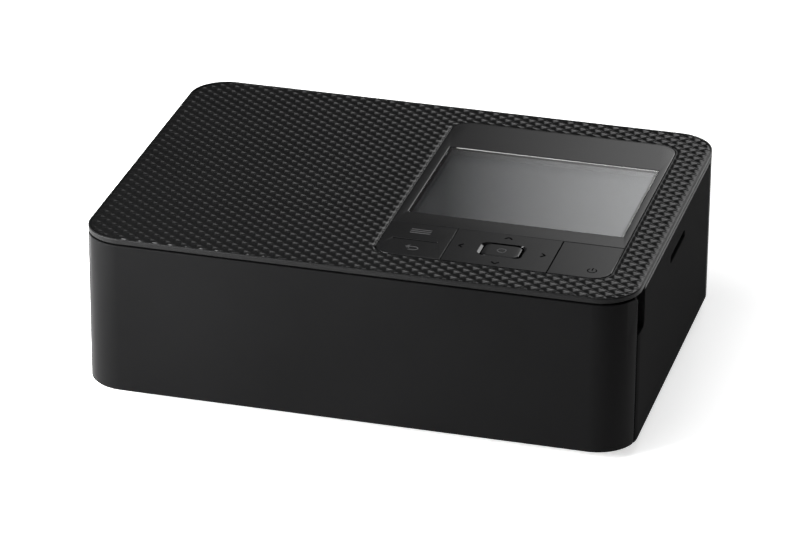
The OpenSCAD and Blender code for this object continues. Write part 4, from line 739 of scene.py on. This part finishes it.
rear = dict(seam=0.45, slotHalf=54.0, slotLow=13.5, slotHigh=21.0, slotCorner=0.8,
            ventRows=5, ventColumns=4, ventX=-62, ventZ=34, ventStepX=28.3, ventStepZ=3.6, ventWide=22.3,
            ventHigh=1.62, ventCorner=0.76, jack=(70.1, 14.0), jackRadius=4.2, usb=(50.22, 10.0),
            usbHalfWide=5, usbHalfHigh=2, usbCorner=1.9, hoodFront=61.5, hoodWall=2, hoodLow=11, hoodTop=23.5,
            ledge=((-89.2, -87.1), (-50, 52), (16, 17.5)))


def rearShape():
    c, r = casing, rear
    start, end = sideAt(c["doorBack"] + r["seam"]), perimeter - sideAt(c["doorFront"])
    notch, turn = perimeter - sideAt(door["notchBack"]), door["notchCorner"]
    low, top = c["skirt"], c["shellTop"]
    corner = arcPoints((notch + turn, door["notchLow"] + turn), turn, 180, 270, 8)
    outer = np.concatenate([[[start, low], [end, low], [end, door["notchLow"]]], corner[::-1],
                            [[notch, top], [start, top]]])
    slotZ = (r["slotLow"], r["slotHigh"])
    holes = [roundRect(backSpan(-r["slotHalf"], r["slotHalf"]), slotZ, r["slotCorner"], 4)]
    for i in range(r["ventRows"]):
        for k in range(r["ventColumns"]):
            x, z = r["ventX"] + k * r["ventStepX"], r["ventZ"] + i * r["ventStepZ"]
            holes.append(roundRect(backSpan(x, x + r["ventWide"]), (z, z + r["ventHigh"]),
                                   r["ventCorner"], 6))
    holes.append(circleLoop((backAt(r["jack"][0]), r["jack"][1]), r["jackRadius"], 40))
    holes.append(roundRect(backSpan(*around(r["usb"][0], r["usbHalfWide"])),
                           around(r["usb"][1], r["usbHalfHigh"]), r["usbCorner"], 8))
    shapes = [skin([outer] + holes)]
    # hood of the paper slot: four walls behind the opening
    h, w = r["slotHalf"], r["hoodWall"]
    deep = (r["hoodFront"], c["back"] - c["wall"] + cover["sink"])
    shapes += [block((-h - w, h + w), deep, z) for z in ((r["hoodLow"], slotZ[0]), (slotZ[1], r["hoodTop"]))]
    shapes += [block(x, deep, slotZ) for x in ((-h - w, -h), (h, h + w))]
    # ledge that the tray's wall stands under
    shapes.append(block(*r["ledge"]))
    return join(*shapes)


addPiece("rearShellSkin", rearShape(), "case_black", stands=["rear_shell"])
print("casing skins made")

# Control panel

panelX = within((panel["left"], panel["right"]), panel["gap"])
panelY = within((panel["front"], panel["back"]), panel["gap"])
panelR = panel["radius"] - panel["gap"]
halfGap = panel["gap"] / 2
keyThick = panel["top"] - panel["floor"]
window = dict(x=(5.925, 77.275), y=(-19.3, 34.7), top=57.1, low=55.8, corner=0.25, play=0.1, paneCorner=0.2,
              edge=0.1, backEdge=0.05)
# strip along the window's back edge, a little proud of the glass, in a pale finish: a painted highlight
backEdge = dict(x=(8.2, 76.9), y=(34.28, 34.56), low=56.8, proud=0.06, edge=0.05)
screen = dict(x=(7.8, 75.6), y=(-17.6, 29.4), top=53.72, thick=0.12, corner=0.3, edge=0.04)

plateLoop = roundRect(panelX, (panel["keysBack"] + halfGap, panelY[1]), (0, 0, panelR, panelR), 16)
windowLoop = roundRect(window["x"], window["y"], window["corner"], 4)
paneLoop = roundRect(within(window["x"], window["play"]), within(window["y"], window["play"]),
                     window["paneCorner"], 4)
screenLoop = roundRect(screen["x"], screen["y"], screen["corner"], 4)
edgeZ = (backEdge["low"], window["top"] + backEdge["proud"])
panelSkin = plate([plateLoop, windowLoop], keyThick, panel["edge"], panel["backEdge"])
pane = plate([paneLoop], window["top"] - window["low"], window["edge"], window["backEdge"])
addPiece("panelPlateSkin", level(panelSkin, panel["top"]), "panel_grey", stands=["panel_plate"])
addPiece("windowPane", level(pane, window["top"]), "window_glass", stands=["display_window"])
# painted highlight: a pale strip along the window's back edge
addPiece("windowBackHighlight", block(backEdge["x"], backEdge["y"], edgeZ, backEdge["edge"]), "panel_grey",
         finish="highlight_pale")
addPiece("displayScreen", level(plate([screenLoop], screen["thick"], screen["edge"], steps=2), screen["top"]),
         "display_grey", finish="screen_grey")

keys = dict(edge=0.22, backEdge=0.1, postHalf=1.5, postLow=54.45, postSink=0.2, postEdge=0.12,
            menuX=13.75, menuPost=7.5, slitFrom=6.5, slitTo=21.2, slitHalf=0.3, slitCorner=0.29, slitDeep=0.8,
            okX=42.35, okWidth=12.2, okLength=8.8, okCorner=2.0, okDrop=0.1, okEdge=0.45,
            ringWidth=14.9, ringLength=9.9, ringCorner=2.4, ringDeep=0.6, ringEdge=0.04, ringPlay=0.6,
            directionPosts=((0, 9.5), (0, -9.5), (-13.5, 0), (13.5, 0)), powerX=69.8)


def keyPost(x, y):
    k = keys
    return block(around(x, k["postHalf"]), around(y, k["postHalf"]),
                 (k["postLow"], panel["floor"] + k["postSink"]), k["postEdge"])


def keyBack(loops, deep):
    # the lower part of a key, from a depth under its face down to the panel's floor
    return level(plate(loops, keyThick - deep, 0, keys["backEdge"], steps=2), panel["top"] - deep)


def menuKeyShape():
    k, p = keys, panel
    loop = roundRect((panelX[0], p["menuRight"] - halfGap), keysY, (panelR, 0, 0, 0), 16)
    slit = roundRect((k["slitFrom"], k["slitTo"]), around(p["rocker"], k["slitHalf"]), k["slitCorner"], 4)
    return join(level(plate([loop, slit], k["slitDeep"], k["edge"]), p["top"]),
                keyBack([loop], k["slitDeep"]),
                *[keyPost(k["menuX"], p["rocker"] + y) for y in (k["menuPost"], -k["menuPost"])])


def directionKeyShape():
    k, p = keys, panel
    loop = roundRect((p["menuRight"] + halfGap, p["directionRight"] - halfGap), keysY, 0)
    ringY = around(p["rocker"], k["ringLength"] / 2)
    ring = roundRect(around(k["okX"], k["ringWidth"] / 2), ringY, k["ringCorner"], 10)
    hole = roundRect(around(k["okX"], k["okWidth"] / 2 + k["ringPlay"]), ringY, k["ringCorner"], 10)
    # the ledge round the middle key slopes inwards: a wedge carried from the ring's edge down to the hole's
    deep = p["top"] - k["ringDeep"]
    wedge = [np.column_stack([line, np.full(len(line), z)]) for line, z in
             ((ring, p["top"] - k["ringEdge"]), (hole, deep), (ring, deep))]
    slope = np.concatenate(wedge), [gridFaces(len(wedge), len(ring), wrapRows=True, wrapColumns=True)]
    return join(level(plate([loop, ring], k["ringDeep"], k["ringEdge"]), p["top"]), slope,
                keyBack([loop, hole], k["ringDeep"]),
                *[keyPost(k["okX"] + x, p["rocker"] + y) for x, y in k["directionPosts"]])


def okKeyShape():
    k, p = keys, panel
    loop = roundRect(around(k["okX"], k["okWidth"] / 2), around(p["rocker"], k["okLength"] / 2),
                     k["okCorner"], 10)
    cap = plate([loop], keyThick - k["okDrop"], k["okEdge"], k["backEdge"], steps=6)
    return join(level(cap, p["top"] - k["okDrop"]), keyPost(k["okX"], p["rocker"]))


def powerKeyShape():
    k, p = keys, panel
    loop = roundRect((p["directionRight"] + halfGap, panelX[1]), keysY, (0, panelR, 0, 0), 16)
    return join(level(plate([loop], keyThick, k["edge"], k["backEdge"]), p["top"]),
                keyPost(k["powerX"], p["rocker"]))


keysY = (panelY[0], panel["keysBack"] - halfGap)
addPiece("menuBackKeyCap", menuKeyShape(), "key_grey", "menu_back_key", ["menu_back_key"])
addPiece("directionKeyCap", directionKeyShape(), "key_grey", "direction_key", ["direction_key"])
addPiece("okKeyCap", okKeyShape(), "key_grey", "ok_key", ["ok_key"])
addPiece("powerKeyCap", powerKeyShape(), "key_grey", "power_key", ["power_key"])

# Generic marks printed on the keys, a little proud of them.

glyph = dict(proud=0.03, sink=0.02, edge=0.01, barX=(10.6, 17.4), bars=(-31.9, -33.2, -34.5), barWide=0.55,
             hook=((12.3, -44.9), (15.2, -44.9)), bend=(15.2, -46.0), bendRadius=1.1, hookEnd=(13.2, -47.1),
             barbs=(((13.4, -43.9), (12.2, -44.9)), ((12.2, -44.9), (13.4, -45.9))), hookWide=0.42,
             ringRadius=1.35, ringWide=0.4, left=28.9, right=55.8, rear=-30.5, front=-49.3,
             chevronAhead=0.7, chevronBack=1.3, chevronHalf=1.25, chevronWide=0.62,
             power=(73.3, -46.4), powerRadius=1.45, powerBar=((73.3, -46.5), (73.3, -44.5)), powerWide=0.36)


def stroke(path, width, top):
    # a line of even width along a path: the path shifted half the width to each side, closed into a loop
    path = np.array(path, float)
    ahead = np.gradient(path, axis=0)
    ahead /= np.linalg.norm(ahead, axis=1)[:, None]
    side = np.stack([-ahead[:, 1], ahead[:, 0]], -1) * width / 2
    loop = np.concatenate([path + side, (path - side)[::-1]])
    return level(plate([loop], glyph["proud"] + glyph["sink"], glyph["edge"], steps=2), top + glyph["proud"])


def menuMarks():
    # three bars for the menu, and an arrow bent back
    g, top = glyph, panel["top"]
    hook = np.concatenate([g["hook"], arcPoints(g["bend"], g["bendRadius"], 80, -90, 9), [g["hookEnd"]]])
    return join(*[stroke([(g["barX"][0], y), (g["barX"][1], y)], g["barWide"], top) for y in g["bars"]],
                *[stroke(path, g["hookWide"], top) for path in (hook, *g["barbs"])])


def arrowMarks():
    # four chevrons, each of two strokes from its tip
    g, mid, rock = glyph, keys["okX"], panel["rocker"]
    arrows = []
    for at, ahead in (((g["left"], rock), (-1, 0)), ((g["right"], rock), (1, 0)),
                      ((mid, g["rear"]), (0, 1)), ((mid, g["front"]), (0, -1))):
        ahead = np.array(ahead)
        tip = at + ahead * g["chevronAhead"]
        for sign in (-1, 1):
            tail = tip - g["chevronBack"] * ahead + sign * g["chevronHalf"] * ahead[::-1]
            arrows.append(stroke([tip, tail], g["chevronWide"], panel["top"]))
    return join(*arrows)


okRing = arcPoints((keys["okX"], panel["rocker"]), glyph["ringRadius"], 0, 352, 30)
powerRing = arcPoints(glyph["power"], glyph["powerRadius"], 125, 415, 26)
powerMark = join(*[stroke(path, glyph["powerWide"], panel["top"]) for path in (powerRing, glyph["powerBar"])])
addPiece("menuMarks", menuMarks(), "key_grey", "menu_back_key", finish="mark_grey")
addPiece("okMark", stroke(okRing, glyph["ringWide"], panel["top"] - keys["okDrop"]), "key_grey", "ok_key",
         finish="mark_grey")
addPiece("arrowMarks", arrowMarks(), "key_grey", "direction_key", finish="mark_dark")
addPiece("powerMark", powerMark, "key_grey", "power_key", finish="mark_dark")
print("control panel made")

# Feet

footPlaces = [(x, y) for x in (-67.1, 67.1) for y in (-48.0, 52.0)]
# closed profile of a foot, as (radius, height): domed tread with one groove, up into the tray's recess
tread = [(0, 0), (3.1, 0), (3.5, 0.35), (3.9, 0), (5.2, 0), (5.75, 0.25), (6, 0.8), (6, 2.8), (0, 2.8),
         (0, 0)]
addPiece("footPads", join(*[lathe(tread, "z", at) for at in footPlaces]), "foot_rubber",
         stands=["rubber_feet"])
print("feet made")

# Floor, light and camera

# The world's angles are in degrees, and its bearings run from +y towards +x. The rays are Light Path's
# outputs for camera, glossy and transmission rays.
studio = dict(floor=(0.9, 0.9, 0.9), floorHalf=6.0, lift=(0.6, 0.6, 0.6), rays=(0, 3, 6), horizon=1.0,
              dome=0.1, ring=3.5, ringSoft=2.0, box=3.6, boxFrom=-14.4, boxTo=-7.6, boxEnd=14.0,
              boxLow=20.0, boxHigh=50.0, soft=3.0)
lamps = [
    # name, place, aim, width, height, watts
    ("softboxTop", (-0.3, -0.35, 1.15), (0, 0, 0.03), 0.9, 0.8, 8.0),
    ("softboxLeft", (-0.24, -0.28, 0.2), (-0.09, -0.06, 0.03), 0.2, 0.2, 4.6),
    ("softboxSide", (-0.5, -0.24, 0.11), (-0.09, -0.05, 0.03), 0.3, 0.14, 6.0),
    ("softboxRight", (0.53, 1.05, 0.38), (0.03, 0, 0.05), 0.45, 0.36, 3.6),
]
view = dict(azimuth=15.012, elevation=25.499, roll=0.479, at=(0.345002, -1.293249, 0.666158), sensor=36,
            lens=201.66, near=0.05, far=30)


def studioWorld():
    # A pale ring at the horizon, a dim dome over it, and a bright panel behind and to the right whose
    # near edge brightens evenly with the bearing, as a big soft box does.
    world = bpy.data.worlds.new("studioWorld")
    bpy.context.scene.world = world
    world.use_nodes = True
    n, k = Nodes(world.node_tree), studio
    at = n.node("TexCoord")
    x, y, z = [n.node("SeparateXYZ", sockets={"Vector": at}, output=i) for i in range(3)]
    bearing = x.work("ARCTAN2", x, y) * (180 / math.pi)
    height = z.work("ARCSINE", z) * (180 / math.pi)
    low = ((height - k["boxLow"]) / k["soft"]).clamped(0, 1)
    high = ((k["boxHigh"] - height) / k["soft"]).clamped(0, 1)
    near = ((bearing - k["boxFrom"]) / (k["boxTo"] - k["boxFrom"])).clamped(0, 1)
    far = ((k["boxEnd"] - bearing) / k["soft"]).clamped(0, 1)
    ring = ((k["ring"] - height) / k["ringSoft"]).clamped(0, 1)
    strength = near * far * low * high * k["box"] + ring * (k["horizon"] - k["dome"]) + k["dome"]
    sky = world.node_tree.nodes["Background"]
    n.feed(sky.inputs["Color"], (1, 1, 1))
    n.feed(sky.inputs["Strength"], strength)


def studioFloor():
    # A plain pale sheet, a little uneven so that it isn't a dead flat colour. Camera, glossy and
    # transmission rays see it lifted to the pale background.
    side = studio["floorHalf"]
    mesh = bpy.data.meshes.new("studioFloor")
    corners = [(-side, -side, 0), (side, -side, 0), (side, side, 0), (-side, side, 0)]
    mesh.from_pydata(corners, [], [(0, 1, 2, 3)])
    floor = bpy.data.objects.new("studioFloor", mesh)
    bpy.context.scene.collection.objects.link(floor)
    f = Finish("floorPale", Specular_IOR_Level=0.1)
    cloud = f.noise(300, 2)
    rays = [f.node("LightPath", output=k) for k in studio["rays"]]
    seen = (rays[0] + rays[1] + rays[2]).clamped(0, 1)
    f.set(Base_Color=f.mix(cloud, shade(studio["floor"], 0.99), studio["floor"]), Roughness=0.8 + cloud * 0.1,
          Emission_Color=f.mix(seen, (0, 0, 0), studio["lift"]), Emission_Strength=1.0)
    mesh.materials.append(f.material)


def addLamp(name, at, aim, width, height, watts):
    lamp = bpy.data.lights.new(name, "AREA")
    lamp.shape, lamp.size, lamp.size_y, lamp.energy = "RECTANGLE", width, height, watts
    holder = bpy.data.objects.new(name, lamp)
    holder.location = at
    holder.rotation_euler = (Vector(aim) - Vector(at)).to_track_quat("-Z", "Y").to_euler()
    bpy.context.scene.collection.objects.link(holder)


def photoCamera():
    # the photograph's viewpoint: turned right, raised, and rolled a little, with a long lens
    az, el, roll = [math.radians(view[key]) for key in ("azimuth", "elevation", "roll")]
    away = Vector((math.sin(az) * math.cos(el), -math.cos(az) * math.cos(el), math.sin(el)))
    right = (-away).cross(Vector((0, 0, 1))).normalized()
    up = right.cross(-away)
    lens = bpy.data.cameras.new("photoCamera")
    lens.sensor_width, lens.lens = view["sensor"], view["lens"]
    lens.clip_start, lens.clip_end = view["near"], view["far"]
    camera = bpy.data.objects.new("photoCamera", lens)
    tiltRight = right * math.cos(roll) + up * math.sin(roll)
    tiltUp = up * math.cos(roll) - right * math.sin(roll)
    turn = Matrix((tiltRight, tiltUp, away)).transposed().to_4x4()
    camera.matrix_world = Matrix.Translation(view["at"]) @ turn
    bpy.context.scene.collection.objects.link(camera)
    bpy.context.scene.camera = camera


studioWorld()
studioFloor()
for lamp in lamps:
    addLamp(*lamp)
photoCamera()
bpy.context.scene.view_settings.view_transform = "Standard"
print("studio made")
